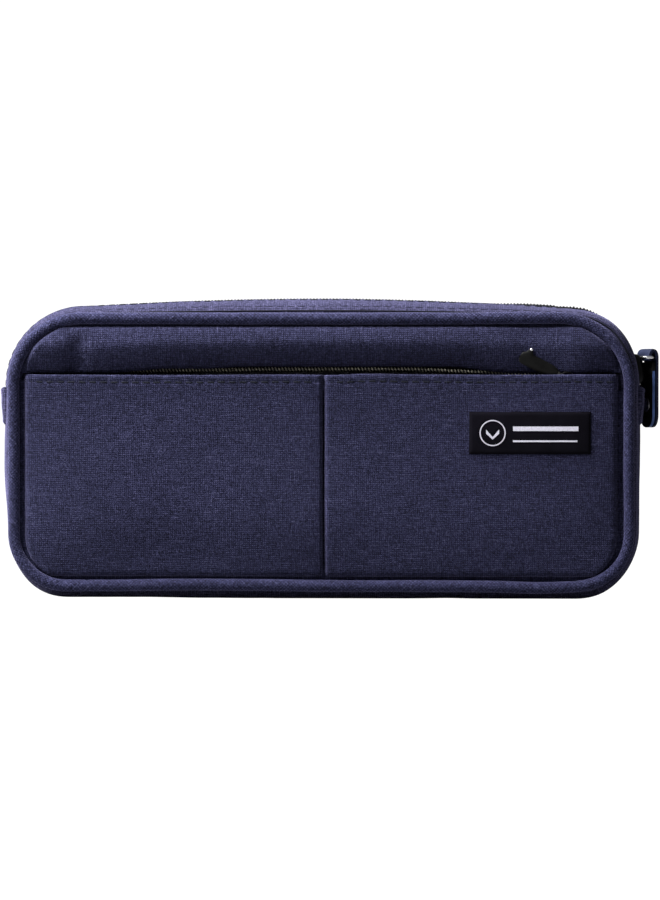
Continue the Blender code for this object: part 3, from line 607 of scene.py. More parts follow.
def metal(name, base, low, high, metallic=1.0):
    """Plated or enamelled metal with faint scratches and smudges."""
    g = Graph(name)
    space = g.object_space()
    stretched = g.put("ShaderNodeMapping", {"Vector": space, "Scale": (900.0, 160.0, 900.0)}).outputs[0]
    scratch = g.noise(stretched, 1.0, 3.0, 0.7)
    smudge = g.noise(space, 240.0, 2.0)
    g.colour(g.ramp(smudge, ((0.3, scaled(base, 0.85)), (0.7, base))))
    g.bump(scratch, 0.08, 0.00004)
    g.set(Metallic=metallic, Roughness=g.spread(scratch, 0.3, 0.75, low, high))
    return g.material


def patch(name, base):
    """Matte rubberised label, finely pebbled."""
    g = Graph(name)
    pebble = g.put("ShaderNodeTexVoronoi", {"Vector": g.object_space(), "Scale": 2200.0}).outputs[0]
    cloud = g.noise(g.object_space(), 90.0, 3.0)
    g.colour(g.ramp(cloud, ((0.3, scaled(base, 0.75)), (0.75, scaled(base, 1.5)))))
    g.bump(pebble, 0.3, 0.00006)
    g.set(Roughness=g.spread(cloud, 0.3, 0.7, 0.75, 0.85))
    g.set(Specular_IOR_Level=0.015)
    return g.material


def ink(name, base):
    g = Graph(name)
    cloud = g.noise(g.object_space(), 1500.0, 3.0, 0.7)
    g.colour(g.ramp(cloud, ((0.3, scaled(base, 0.7)), (0.6, base))))
    g.bump(cloud, 0.2, 0.00004)
    g.set(Roughness=0.55)
    return g.material


def thread(name, base):
    g = Graph(name)
    space = g.object_space()
    ply = g.put("ShaderNodeMapping", {"Vector": space, "Scale": (2600.0, 2600.0, 2600.0)}).outputs[0]
    twist = g.noise(ply, 1.0, 1.0)
    g.colour(g.ramp(twist, ((0.3, scaled(base, 0.6)), (0.7, scaled(base, 1.5)))))
    g.bump(twist, 0.4, 0.00008)
    g.set(Roughness=0.8)
    g.set(Specular_IOR_Level=0.15)
    return g.material


PANEL = canvas("look_navy_canvas", (0.0128, 0.0133, 0.0308))
PIPING = canvas("look_navy_piping", (0.0150, 0.0156, 0.0368), turn=45.0, pitch=1.0, slub=0.4, contrast=1.15)
# The gussets use the panels' canvas turned; their lighter colour is painted light, standing in for the
# overhead lamp's brightness on the top
GUSSET = canvas("look_navy_gusset", (0.0205, 0.0200, 0.0425), turn=90.0, slub=0.6)
LINING = lining("look_black_lining", (0.006, 0.006, 0.007))
FOAM = foam("look_foam")
CORD = twisted_cord("look_cord")
TAPE = zip_nylon("look_black_zip")
# The pocket zip's upper row: black nylon given a pale cream colour, a painted highlight from the overhead
# lamp
COIL = coil_nylon("look_black_zip_coil", (0.07, 0.067, 0.052), (0.19, 0.18, 0.135), 0.8)
DARK_COIL = coil_nylon("look_black_zip_coil_dark", (0.004, 0.004, 0.006), (0.012, 0.012, 0.014), 0.15)
BLACK_METAL = metal("look_black_metal", (0.008, 0.008, 0.009), 0.26, 0.46, 0.85)
SILVER = metal("look_silver_metal", (0.80, 0.80, 0.82), 0.10, 0.28)
BLACK_LEATHER = leather("look_black_leather", (0.0028, 0.0029, 0.0028), shine=0.5)
NAVY_LEATHER = leather("look_navy_leather", (0.0062, 0.0085, 0.022), shine=0.6)
EDGE_PAINT = leather("look_edge_paint", (0.045, 0.075, 0.19), shine=0.4)
LABEL = patch("look_black_label", (0.0024, 0.0022, 0.0036))
PRINT = ink("look_grey_print", (0.40, 0.39, 0.46))
THREAD = thread("look_thread", (0.0022, 0.0028, 0.0065))
GUSSET_THREAD = thread("look_thread_light", (0.0075, 0.0078, 0.021))


# ---------------------------------------------------------------- panels


def half_width(z, side, low, high):
    """How far a panel reaches to either side at that height."""
    if z >= TOP_Z:
        rise = min(1.0, (z - TOP_Z) / (high - TOP_Z))
        return TOP_X + (side - TOP_X) * math.sqrt(1 - rise * rise)
    if z <= BOTTOM_Z:
        drop = min(1.0, (BOTTOM_Z - z) / (BOTTOM_Z - low))
        return BOTTOM_X + (side - BOTTOM_X) * math.sqrt(1 - drop * drop)
    return side


def seam_distance(x, z):
    """About how far a point on a panel is from the piping's seam."""
    side = half_width(z, PANEL_SIDE, PANEL_LOW, PANEL_HIGH) - abs(x)
    return max(0.0, min(side, z - PANEL_LOW, PANEL_HIGH - z))


def rows_between(low, high, step, top_seam=False, bottom_seam=False):
    """Heights a step apart, closer at an end that follows the piping's curve."""
    count = max(3, round((high - low) / step))
    rows = spread(low, high, count + 1)
    near = (0.12, 0.35, 0.7, 1.1, 1.6, 2.2, 2.9, 3.8)
    if bottom_seam:
        rows += [low + d for d in near]
    if top_seam:
        rows += [high - d for d in near]
    kept = [low]
    for z in sorted(rows):
        if z - kept[-1] > 0.11:
            kept.append(z)
    kept[-1] = high
    return kept


def across(left, right, count):
    """Places across a panel, closer together beside its two edges."""
    near = (0.0, 0.1, 0.25, 0.45, 0.7, 1.05, 1.5, 2.1, 2.9, 3.9)
    scale = min(1.0, (right - left) / 12)
    inner = spread(left + 5 * scale, right - 5 * scale, count)
    return [left + d * scale for d in near] + inner + [right - d * scale for d in reversed(near)]


def dome(x, z):
    """How full a front panel is, from 0 at its edges to 1."""
    wide = 1 - min(1.0, abs(x) / PANEL_SIDE) ** 10
    up = 1 - (1 - smooth_step(PANEL_LOW - 4, PANEL_LOW + 34, z)) ** 1.6
    return max(0.0, wide * up)


def zip_height(x):
    """The line between the coil's rows. The cloth lifts it in the middle of the pouch."""
    for (a, low), (b, high) in zip(ZIP_LINE, ZIP_LINE[1:]):
        if x <= b:
            return lerp(low, high, smooth_step(a, b, x))
    return ZIP_LINE[-1][1]


def hem_top(x):
    """The hem sags a little between its ends and rises at the seam's right."""
    sag = 0.35 * bell(x - 4, 9) - 0.25 * bell(x - 18, 14)
    return HEM_TOP - sag - 0.3 * bell(x + 62, 40) - 0.2 * bell(x - 70, 30)


def groove(near, flat=0.9, width=1.2):
    """The panels turn in where they meet the piping, from 0 to 1."""
    return bell(max(0.0, near - flat), width)


def slip_face(x, z):
    """The slip pockets' outer face: full in the middle, drawn in at the seams."""
    y = -18.9 - 3.4 * dome(x, z)
    near = seam_distance(x, z)
    y += 5.5 * groove(near, 1.9 - 1.0 * bell(z - PANEL_LOW, 12))
    below_hem = smooth_step(HEM_TOP + 1, HEM_TOP - 3, z)
    y += 0.4 * bell(x - SEAM_X, 4.5) * below_hem
    y += 2.2 * bell(x - SEAM_X, 0.8)
    y -= 0.22 * bell(x - SEAM_X - 2.6, 1.6) * below_hem
    y += 0.10 * bell(z - STITCH_Z, 0.5) * smooth_step(0, 3, near)
    y -= 0.16 * bell(z - STITCH_Z - 1.5, 1.0)
    y -= 0.10 * bell(z - STITCH_Z + 1.6, 1.2)
    calm = smooth_step(0, 16, near)
    y += calm * (0.45 * rough(x, 0, z * 1.4, 46, 1.3) + 0.22 * rough(x, 0, z, 19, 2.7))
    y += 0.06 * rough(x, 0, z, 4.5, 5.2)
    return y + bell(z - STITCH_Z, 1.6) * 0.09 * math.sin(math.tau * x / STITCH_PITCH)


def hem_roll(x, z):
    """How far the folded mouth turns back over its last millimetre."""
    drop = 1.1 - (hem_top(x) - z)
    if drop <= 0:
        return 0.0
    return 0.8 * (1 - math.sqrt(max(0.0, 1 - min(1.0, drop / 1.1) ** 2)))


def band_bottom(x):
    """The band's lower edge: level above the zip's teeth, shut against the hem at both ends."""
    shut = max(smooth_step(-60, -88, x), smooth_step(50, 78, x))
    wide = 92.5 + 0.9 * smooth_step(-48, -30, x) + 0.15 * rough(x, 0, 0, 40, 6.6)
    return lerp(wide, hem_top(x) + 0.5, shut)


def band_face(x, z):
    """The upper band: it swells below the piping, then turns in to the pocket's zip."""
    low = band_bottom(x)
    share = (z - low) / (PANEL_HIGH - low)
    hump = smooth_step(-0.15, 0.6, share) * (1 - 0.36 * smooth_step(0.5, 1.0, share))
    y = -16.7 - 5.6 * hump * (1 - 0.3 * bell(x - 85, 12))
    near = min(seam_distance(x, z), PANEL_HIGH - z)
    y += 3.2 * groove(near)
    calm = smooth_step(0, 9, near)
    y -= 2.2 * bell(x - 103, 7.5) * smooth_step(104, 94, z) * (1 - hump * 0.6)
    y += calm * 1.9 * bell(x + 97.0, 4.0) * smooth_step(109, 101, z)
    y -= calm * 0.8 * bell(x + 106, 5) * smooth_step(111, 103, z)
    y += calm * (0.34 * rough(x, 0, z * 1.6, 34, 3.1) + 0.18 * rough(x, 0, z, 13, 8.8))
    y += 0.06 * rough(x, 0, z, 4.5, 6.4)
    return min(y, -17.1) if z < 97 else y


def back_face(x, z):
    """The back, gently full and drawn in at the piping."""
    across_share = 1 - min(1.0, abs(x) / PANEL_SIDE) ** 4
    up = smooth_step(PANEL_LOW - 5, PANEL_LOW + 30, z)
    down = smooth_step(PANEL_HIGH + 5, PANEL_HIGH - 30, z)
    y = 18.6 + 1.6 * across_share * up * down
    near = seam_distance(x, z)
    y -= 2.6 * groove(near)
    calm = smooth_step(0, 16, near)
    return y + calm * (0.5 * rough(x, 3, z, 44, 4.4) + 0.2 * rough(x, 3, z, 17, 6.1))


def panel(name, rows, edges, face, thick, material, columns, top=None):
    """A sheet of cloth: rows of z, edges(z) as its x limits, face(x, z) as its outer y."""
    outer, inner, uv = [], [], []
    sign = 1 if thick > 0 else -1
    last = rows[-1]
    for z in rows:
        left, right = edges(z)
        line, back, marks = [], [], []
        for x in across(left, right, columns):
            up = z
            if top is not None:
                up = z + (top(x) - last) * smooth_step(last - 14, last, z)
            y = face(x, up)
            line.append((x, y, up))
            back.append((x, y + thick, up))
            marks.append((x, up * sign))
        outer.append(line)
        inner.append(back)
        uv.append(marks)
    return grid_solid(name, outer, inner, uv, material)


def straight_edges(left, right):
    def edges(_):
        return left, right

    return edges


def outline_edges(side, low, high):
    def edges(z):
        reach = half_width(z, side, low, high)
        return -reach, reach

    return edges


def slip_pockets():
    outer = outline_edges(PANEL_SIDE, PANEL_LOW, PANEL_HIGH)
    rows = rows_between(PANEL_LOW, HEM_TOP, 1.3, bottom_seam=True)
    rows = [z for z in rows if z < HEM_TOP - 5] + spread(HEM_TOP - 4.8, HEM_TOP - 1.3, 11)
    rows += [HEM_TOP - d for d in (1.1, 0.95, 0.8, 0.66, 0.52, 0.4, 0.29, 0.19, 0.1, 0.04, 0.0)]

    def left(z):
        return outer(z)[0], SEAM_X - 0.3

    def right(z):
        return SEAM_X + 0.3, outer(z)[1]

    def rolled(x, z):
        return slip_face(x, z) + hem_roll(x, z)

    for name, edges in (("left", left), ("right", right)):
        cloth = panel(f"slip_cloth_{name}", rows, edges, rolled, 0.9, PANEL, 96, top=hem_top)
        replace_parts(cloth, f"slip_pocket_{name}")

    def turned(x, z):
        return slip_face(x, z) + 1.05

    hem_rows = spread(HEM_TOP - 4.8, HEM_TOP - 0.5, 6)
    hem = panel("slip_hem_turning", hem_rows, outer, turned, 0.5, PANEL, 150)
    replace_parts(hem, "slip_pocket_hem")

    def row(distance):
        x = -PANEL_SIDE + 2.2 + distance
        if x > PANEL_SIDE - 2.2:
            return None
        z = STITCH_Z + hem_top(x) - HEM_TOP + 0.12 * rough(x, 0, 0, 9, 2.2)
        return (x, slip_face(x, z), z), (0, -1, 0)

    stitches("slip_hem_stitches", row, THREAD)

    def seam_face(x, z):
        return min(-16.9, slip_face(x, z) + 2.6)

    seam_rows = spread(PANEL_LOW + 12, HEM_TOP - 6, 20)
    outer_grid, inner_grid, uv = [], [], []
    for z in seam_rows:
        xs = spread(SEAM_X - 0.6, SEAM_X + 0.6, 4)
        outer_grid.append([(x, seam_face(x, z), z) for x in xs])
        inner_grid.append([(x, -16.3 + 0.2 * bell(z, 20), z) for x in xs])
        uv.append([(x, z) for x in xs])
    seam = grid_solid("slip_seam_fold", outer_grid, inner_grid, uv, PANEL)
    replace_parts(seam, "slip_pocket_seam")


def backing_face(x, z):
    y = -17.2 + 1.4 * dome(x, z)
    return y + 0.12 * rough(x, 5, z, 30, 9.4) * smooth_step(0, 12, seam_distance(x, z))


def front_panels():
    outer = outline_edges(PANEL_SIDE, PANEL_LOW, PANEL_HIGH)
    shares = [0.0, 0.01, 0.025, 0.045, 0.07] + spread(0.1, 0.84, 13)
    shares += [0.87, 0.90, 0.925, 0.945, 0.962, 0.976, 0.987, 0.995, 1.0]
    outer_grid, inner_grid, uv = [], [], []
    for share in shares:
        z = lerp(band_bottom(PANEL_SIDE), PANEL_HIGH, share)
        reach = half_width(z, PANEL_SIDE, PANEL_LOW, PANEL_HIGH)
        xs = across(-reach, reach, 170)
        zs = [lerp(band_bottom(x), PANEL_HIGH, share) for x in xs]
        fold = 0.7 * smooth_step(0.05, 0, share)
        outer_grid.append([(x, band_face(x, z) + fold, z) for x, z in zip(xs, zs)])
        inner_grid.append([(x, band_face(x, z) + 0.9, z) for x, z in zip(xs, zs)])
        uv.append([(z, x) for x, z in zip(xs, zs)])
    band = grid_solid("front_band", outer_grid, inner_grid, uv, PANEL)
    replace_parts(band, "front_upper_band")

    outer_grid, inner_grid, uv = [], [], []
    for share in [0, 0.004, 0.01, 0.02, 0.035, 0.055, 0.08] + spread(0.12, 1, 26):
        z_mid = lerp(PANEL_LOW, zip_height(0) - 4.4, share)
        left, right = outer(z_mid)
        xs = spread(left, right, 100)
        zs = [lerp(PANEL_LOW, zip_height(x) - 4.4, share) for x in xs]
        outer_grid.append([(x, backing_face(x, z), z) for x, z in zip(xs, zs)])
        inner_grid.append([(x, backing_face(x, z) + 1.0, z) for x, z in zip(xs, zs)])
        uv.append([(x, z) for x, z in zip(xs, zs)])
    backing = grid_solid("front_backing", outer_grid, inner_grid, uv, PANEL)
    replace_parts(backing, "front_backing_panel")


def back_panel():
    rows = rows_between(PANEL_LOW, PANEL_HIGH, 1.8, top_seam=True, bottom_seam=True)
    edges = outline_edges(PANEL_SIDE, PANEL_LOW, PANEL_HIGH)
    back = panel("back_cloth", rows, edges, back_face, -1.3, PANEL, 140)
    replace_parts(back, "back_panel")


def layer(depth_middle, depth_edge, seed):
    """An inner layer's face, from its depth at the edge to its depth in the middle."""

    def face(x, z):
        wide = 1 - min(1.0, abs(x) / INNER_SIDE) ** 10
        up = smooth_step(INNER_LOW - 3, INNER_LOW + 22, z)
        down = smooth_step(INNER_HIGH + 1.5, INNER_HIGH - 7, z)
        share = max(0.0, wide) * up * down
        return lerp(depth_edge, depth_middle, share) + 0.08 * share * rough(x, 0, z, 24, seed)

    return face


def inner_layers():
    """Linings and padding behind the panels, and the pockets inside."""
    rows = rows_between(INNER_LOW, INNER_HIGH, 4.0, top_seam=True, bottom_seam=True)
    edges = outline_edges(INNER_SIDE, INNER_LOW, INNER_HIGH)
    stack = (
        ("pocket_lining_cloth", "pocket_lining", -8.4, -12.4, 0.45, LINING),
        ("front_foam", "front_padding", -7.6, -11.6, 1.4, FOAM),
        ("front_lining_cloth", "front_lining", -5.3, -10.3, 0.4, LINING),
        ("back_lining_cloth", "back_lining", 12.4, 12.6, 0.4, LINING),
        ("back_foam", "back_padding", 13.2, 13.4, 1.2, FOAM),
    )
    for k, (name, node, middle, edge, thick, material) in enumerate(stack):
        piece = panel(name, rows, edges, layer(middle, edge, 1.7 * k), thick, material, 60)
        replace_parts(piece, node)

    base = layer(12.4, 12.6, 5.1)

    def pocket_face(x, z):
        return base(x, z) - 0.8 - 0.8 * smooth_step(20, 70, z) + 0.1 * rough(x, 0, z, 15, 3)

    for name, node, left, right, top in (
        ("document_sleeve_cloth", "document_sleeve", -104.0, -8.0, 78.0),
        ("card_slots_cloth", "card_slots", 8.0, 96.0, 66.0),
    ):
        rows = spread(22, top, 20)
        piece = panel(name, rows, straight_edges(left, right), pocket_face, 0.4, LINING, 40)
        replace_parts(piece, node)


# ---------------------------------------------------------------- gusset and piping


def band_strip(name, places, depths, start, thick, material, wave=0.0, seed=0.0, tuck=None):
    """Cloth along the gusset: depths across it, start as its inset and thick as its thickness."""
    marks = lengths(places)
    outer, inner, uv = [], [], []
    for place, mark in zip(places, marks):
        line, back, uvs = [], [], []
        for y in depths:
            calm = crown(y)
            lift = wave * calm * rough(mark, y * 1.5, 0, 30, seed)
            lift += wave * 0.35 * calm * rough(mark, y * 1.5, 0, 11, seed + 3)
            inset = start - lift
            if tuck is not None:
                inset += tuck(mark, y)
            inset = max(inset, start - 0.6)
            line.append(gusset_point(place, y, inset))
            x, _, z = gusset_point(place, y, inset + thick)
            back.append((x, y, max(0.03 + thick * 0.5, z)))
            uvs.append((mark, y))
        outer.append(line)
        inner.append(back)
        uv.append(uvs)
    return grid_solid(name, outer, inner, uv, material)


def seam_tuck(_, y):
    """The cloth dives under the piping, and is drawn in along its topstitching."""
    return 2.3 * bell(GUSSET_HALF - abs(y), 1.5) + 0.22 * bell(abs(y) - EDGE_STITCH_Y, 0.45)


def slot_tuck(mark, y):
    """The strip turns in beside the zip as well, with its own topstitching."""
    fold = 0.55 * bell(abs(y) - SLOT_HALF, 0.35)
    return seam_tuck(mark, y) + fold + 0.14 * bell(abs(y) - ZIP_STITCH_Y, 0.45)


def painted_shade_line(name, places, y):
    """A dark thread laid as painted shade, where the gusset dives behind the piping."""
    rings, uv = [], []
    for place in places:
        out = gusset_normal(place, 0)
        centre = Vector(gusset_point(place, y, 0.3))
        across = Vector((0, 0.3, 0))
        rings.append([tuple(centre + out * 0.3 * math.cos(a) + across * math.sin(a)) for a in turns(6)])
        uv.append([(len(uv), k) for k in range(6)])
    tube(name, rings, uv, THREAD)


def gusset():
    step = 2.0
    left_end, right_end = side_place(GUSSET_END_Z, False), side_place(GUSSET_END_Z, True)
    below = stations(left_end, right_end, step)
    fine = [0.0, 0.3, 0.7, 1.2, 1.7, 2.1, 2.4, 2.7, 3.1, 3.8, 5.0, 7.0, 9.5, 12.0, 14.0, GUSSET_HALF]
    depths = [f - GUSSET_HALF for f in fine] + [GUSSET_HALF - f for f in reversed(fine[:-1])]
    # The gusset cloth's lighter colour is painted light
    strip = band_strip("bottom_gusset_cloth", below, depths, 0.0, 1.1, GUSSET, 0.45, 1.9, seam_tuck)
    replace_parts(strip, "bottom_gusset")
    inner = spread(-12.3, 12.3, 9)
    pad = band_strip("bottom_gusset_foam", below, inner, 1.5, 1.3, FOAM)
    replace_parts(pad, "bottom_gusset_padding")
    inside = band_strip("bottom_gusset_lining_cloth", below, inner, 3.1, 0.5, LINING)
    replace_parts(inside, "bottom_gusset_lining")

    above = stations(right_end, left_end, step)
    marks = [SLOT_HALF, 5.05, 5.3, 5.8, 6.3, ZIP_STITCH_Y, 6.9, 7.6, 9.0, 10.6, 11.5, 11.9, EDGE_STITCH_Y]
    marks += [12.3, 12.8, 13.4, 14.1, 14.9, 15.3, 15.6, GUSSET_HALF]
    for prefix, sign in (("front", -1), ("back", 1)):
        depths = [sign * y for y in marks]
        name = f"top_gusset_cloth_{prefix}"
        cloth = band_strip(name, above, depths, 0.0, 1.1, GUSSET, 0.4, 5.0 + sign, slot_tuck)
        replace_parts(cloth, f"top_gusset_{prefix}")
        depths = [sign * y for y in spread(0.15, 8.0, 8)]
        tape = band_strip(f"zip_tape_{prefix}", above, depths, 1.55, 0.5, TAPE)
        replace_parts(tape, f"main_zip_tape_{prefix}")
        zip_coil_main(prefix, sign, above)
        line = along_gusset(above, sign * EDGE_STITCH_Y, -0.2)
        stitches(f"top_gusset_seam_stitches_{prefix}", line, GUSSET_THREAD, radius=0.22)
        # A dark thread as painted shade, for the shadow where the gusset dives behind the piping
        painted_shade_line(f"top_painted_shade_line_{prefix}", above, sign * SHADE_LINE_Y)
        line = along_gusset(above, sign * ZIP_STITCH_Y, -0.12)
        stitches(f"top_gusset_zip_stitches_{prefix}", line, THREAD)


def spiral(name, centre, count, half_across, half_out, material, wire=0.27):
    """A flattened coil of teeth: centre(distance) gives (point, along, across, out)."""
    sides, steps = 5, 9
    rings = []
    for i in range(count * steps + 1):
        distance = i * TOOTH_PITCH / steps
        point, along, across, out = centre(distance)
        turn = math.tau * i / steps
        spot = point + across * math.cos(turn) * half_across + out * math.sin(turn) * half_out
        run = across * -math.sin(turn) * half_across + out * math.cos(turn) * half_out
        run = (run * math.tau / TOOTH_PITCH + along).normalized()
        first = run.cross(along)
        if first.length < 0.2:
            first = run.cross(out)
        first.normalize()
        second = run.cross(first)
        ring = [spot + (first * math.cos(a) + second * math.sin(a)) * wire for a in turns(sides)]
        rings.append([tuple(p) for p in ring])
    uv = [[(p[0], p[2]) for p in ring] for ring in rings]
    return tube(name, rings, uv, material)


def coil_core(name, centre, count, half_across, half_out):
    """The cord that a coil of teeth is wound on."""
    rings = []
    for i in range(0, count, 2):
        point, _, across, out = centre(i * TOOTH_PITCH)
        ring = [point + across * half_across * math.cos(a) + out * half_out * math.sin(a) for a in turns(8)]
        rings.append([tuple(p) for p in ring])
    tube(name, rings, [[(p[0], p[2]) for p in ring] for ring in rings], TAPE)


def coil_depth(place):
    """The closed teeth stand proud by the slider and sink between the strips further on."""
    segment, t = place
    if segment == "right":
        return 0.0
    if segment == "right_high":
        return 0.3 - 1.1 * smooth_step(0.05, 0.35, t) * smooth_step(0.95, 0.7, t)
    if segment == "top":
        return 0.3 + 0.9 * smooth_step(0.04, 0.16, t)
    return 1.2


def zip_coil_main(prefix, sign, places):
    """One row of the main zip's teeth, with its core."""
    marks = lengths(places)
    total = marks[-1]

    def centre(distance):
        distance = min(distance, total - 0.01)
        low, high, share = between(marks, distance)
        sunk = coil_depth(places[low])
        a = Vector(gusset_point(places[low], 0.0, sunk))
        b = Vector(gusset_point(places[high], 0.0, sunk))
        out = gusset_normal(places[low], 0.0).lerp(gusset_normal(places[high], 0.0), share).normalized()
        point = a.lerp(b, share) + Vector((0, sign * 0.78, 0))
        return point, (b - a).normalized(), Vector((0, 1, 0)), out

    count = int(total / TOOTH_PITCH) - 1
    coil = spiral(f"zip_coil_{prefix}", centre, count, 0.72, 0.62, DARK_COIL)
    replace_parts(coil, f"main_zip_coil_{prefix}")
    coil_core(f"zip_coil_core_{prefix}", centre, count, 0.6, 0.5)


def side_tabs():
    """Folded cloth over the zip's ends, with a rounded upper fold and its stitches."""
    for name, right in (("right", True), ("left", False)):
        heights = [85.2, 85.1, 84.8, 84.3, 83.6, 82.8, 81.5] + spread(80, 71, 10) + [70.4, 70.0]
        places = [side_place(z, right) for z in heights]
        if right:
            places.reverse()
        depths = [-11, -10.9, -10.6, -10.0] + spread(-9, 9, 13) + [10.0, 10.6, 10.9, 11]

        def tuck(mark, y):
            edge = min(mark, 15.2 - mark)
            top = mark if not right else 15.2 - mark
            lift = 0.9 * bell(11 - abs(y), 0.45) + 0.8 * bell(edge, 0.5)
            lift += 0.8 * smooth_step(5, 15, top)
            return lift - 0.25 * bell(top - 1.4, 1.1) + 0.12 * bell(abs(y) - 9.2, 0.4)

        # The tabs share the gusset cloth's lighter colour, which is painted light
        tab = band_strip(f"zip_end_tab_{name}", places, depths, -1.75, 1.4, GUSSET, 0.15, 2.0, tuck)
        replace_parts(tab, f"side_tab_{name}")
        row = side_place(82.6, right)
        parts = []
        for y in spread(-8.2, 6.0, 4):
            a = Vector(gusset_point(row, y, -1.8))
            b = Vector(gusset_point(row, y + 3.0, -1.8))
            parts.append(capsule(a, b, gusset_normal(row, y), 0.24))
        joined(f"zip_end_stitches_{name}", parts, THREAD)


def piping(prefix, y, seed):
    """The bias-cut cover: a slightly uneven round welt, its strip joined at the left below."""
    places = stations(("bottom", 0.5), ("bottom", 0.4985), 1.25)
    size = (PIPING_SIDE, PIPING_LOW, PIPING_HIGH, WELT_ARCH)
    wide = (PIPING_SIDE + 1, PIPING_LOW - 1, PIPING_HIGH + 1, WELT_ARCH)
    rings, uv = [], []
    mark, before = 0.0, None
    join_at = 572.0
    for place in places:
        x, z = outline_point(*place, *size)
        here = Vector((x, z))
        out = (Vector(outline_point(*place, *wide)) - here).normalized()
        if before is not None:
            mark += (here - before).length
        before = here
        ring, marks = [], []
        uneven = smooth_step(0, 14, abs(x)) if place[0] == "bottom" else 1
        bulk = 1 + uneven * (0.035 * rough(mark, 0, 0, 22, seed) + 0.02 * rough(mark, 0, 0, 7, seed + 2))
        shift = uneven * 0.28 * rough(mark, 0, 0, 40, seed + 5)
        tight = smooth_step(112, 121, x)
        bulk -= 0.1 * tight
        shift += 0.15 * tight
        if place[0] == "bottom":
            shift += 0.65 * bell(x - 88, 14) - 0.5 * bell(x + 48, 32)
        for turn in turns(16):
            radius = PIPING_RADIUS * bulk
            skew = mark + 2.2 * math.sin(turn)
            radius -= 0.34 * bell(skew - join_at, 0.5)
            reach = radius * math.cos(turn) + shift
            ring.append((x + out.x * reach, y + radius * math.sin(turn), z + out.y * reach))
            marks.append((mark, turn * PIPING_RADIUS))
        rings.append(ring)
        uv.append(marks)
    cover = tube(f"{prefix}_welt", rings, uv, PIPING, closed=True)
    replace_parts(cover, f"{prefix}_piping_cover")


# ---------------------------------------------------------------- zips and pulls


def pocket_zip():
    """The front zip: two tapes, two rows of teeth and their cores."""
    for prefix, sign in (("upper", 1), ("lower", -1)):
        outer, inner, uv = [], [], []
        for share in spread(0, 1, 7):
            line, back, marks = [], [], []
            for x in spread(-ZIP_HALF - 3, ZIP_HALF + 3, 120):
                z = zip_height(x) + sign * lerp(0.15, 8.0, share)
                line.append((x, TAPE_Y, z))
                back.append((x, TAPE_Y + 0.5, z))
                marks.append((z * 1.4, x))
            outer.append(line)
            inner.append(back)
            uv.append(marks)
        tape = grid_solid(f"zip_tape_{prefix}", outer, inner, uv, TAPE)
        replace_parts(tape, f"pocket_zip_tape_{prefix}")

        def centre(distance, side=sign):
            x = -ZIP_HALF + 0.5 + distance
            point = Vector((x, COIL_Y + 0.35 * (1 - side), zip_height(x) + side * 0.78))
            along = Vector((1, 0, zip_height(x + 0.5) - zip_height(x - 0.5))).normalized()
            return point, along, Vector((0, 0, 1)), Vector((0, -1, 0))

        count = int((2 * ZIP_HALF - 1) / TOOTH_PITCH) - 1
        # The upper row's pale colour is a painted highlight; the lower row keeps the nylon's own black
        finish = COIL if sign > 0 else DARK_COIL
        coil = spiral(f"pocket_coil_{prefix}", centre, count, 0.64, 0.62, finish)
        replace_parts(coil, f"pocket_zip_coil_{prefix}")
        coil_core(f"pocket_coil_core_{prefix}", centre, count, 0.5, 0.4)


def repaint(node, material):
    piece = frame["nodes"][node]
    piece.data.materials.clear()
    piece.data.materials.append(material)


def label_places(low, high, count):
    """Places across the label, closer together beside its rolled edges."""
    near = (0.0, 0.15, 0.4, 0.8)
    inner = spread(low + 1.6, high - 1.6, count)
    return [low + d for d in near] + inner + [high - d for d in reversed(near)]


def label():
    """A thin patch that follows the pocket, its edges rolled back."""

    def patch_face(x, z):
        edge = min(x - LABEL_LEFT, LABEL_RIGHT - x, z - LABEL_LOW, LABEL_HIGH - z)
        return slip_face(x, z) - LABEL_LIFT + 0.5 * bell(edge, 0.5)

    zs = label_places(LABEL_LOW, LABEL_HIGH, 14)
    xs = label_places(LABEL_LEFT, LABEL_RIGHT, 38)
    outer = [[(x, patch_face(x, z), z) for x in xs] for z in zs]
    inner = [[(x, slip_face(x, z) - 0.05, z) for x in xs] for z in zs]
    uv = [[(x, z) for x in xs] for z in zs]
    patch_piece = grid_solid("label_cloth", outer, inner, uv, LABEL)
    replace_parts(patch_piece, "label_patch")


def printed(name, outline, closed=False):
    """A thin print on the label: a strip, or a closed band, between pairs of points."""
    rings, marks = [], []
    for (x0, z0), (x1, z1) in outline:
        y0 = slip_face(x0, z0) - PRINT_LIFT
        y1 = slip_face(x1, z1) - PRINT_LIFT
        rings.append([(x0, y0, z0), (x1, y1, z1), (x1, y1 + 0.2, z1), (x0, y0 + 0.2, z0)])
        marks.append([(x0, z0), (x1, z1), (x1, z1), (x0, z0)])
    return tube(name, rings, marks, PRINT, closed=closed)


def label_mark():
    """A neutral mark: a ring, a wedge and two bars."""
    middle = (LABEL_LOW + LABEL_HIGH) / 2
    centre = LABEL_LEFT + 9.3

    def on_circle(radius, turn):
        return centre + radius * math.cos(turn), middle + radius * math.sin(turn)

    circle = [(on_circle(5.2, turn), on_circle(4.75, turn)) for turn in turns(64)]
    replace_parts(printed("label_ring_print", circle, closed=True), "label_mark_ring")
    for name, bottom, top, end in (("upper", 0.8, 2.6, 43.4), ("lower", -3.6, -2.9, 43.0)):
        xs = spread(LABEL_LEFT + 17.4, LABEL_LEFT + end, 20)
        strip = [((x, middle + bottom), (x, middle + top)) for x in xs]
        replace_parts(printed(f"label_bar_print_{name}", strip), f"label_mark_bar_{name}")
    wedge = []
    for d in spread(-2.6, 2.6, 9):
        rise = abs(d)
        wedge.append(((centre + d, middle - 2.6 + 0.9 * rise), (centre + d, middle - 1.6 + 1.15 * rise)))
    printed("label_wedge_print", wedge)


def joint(name):
    return next(j for j in frame["joints"] if j["name"] == name)


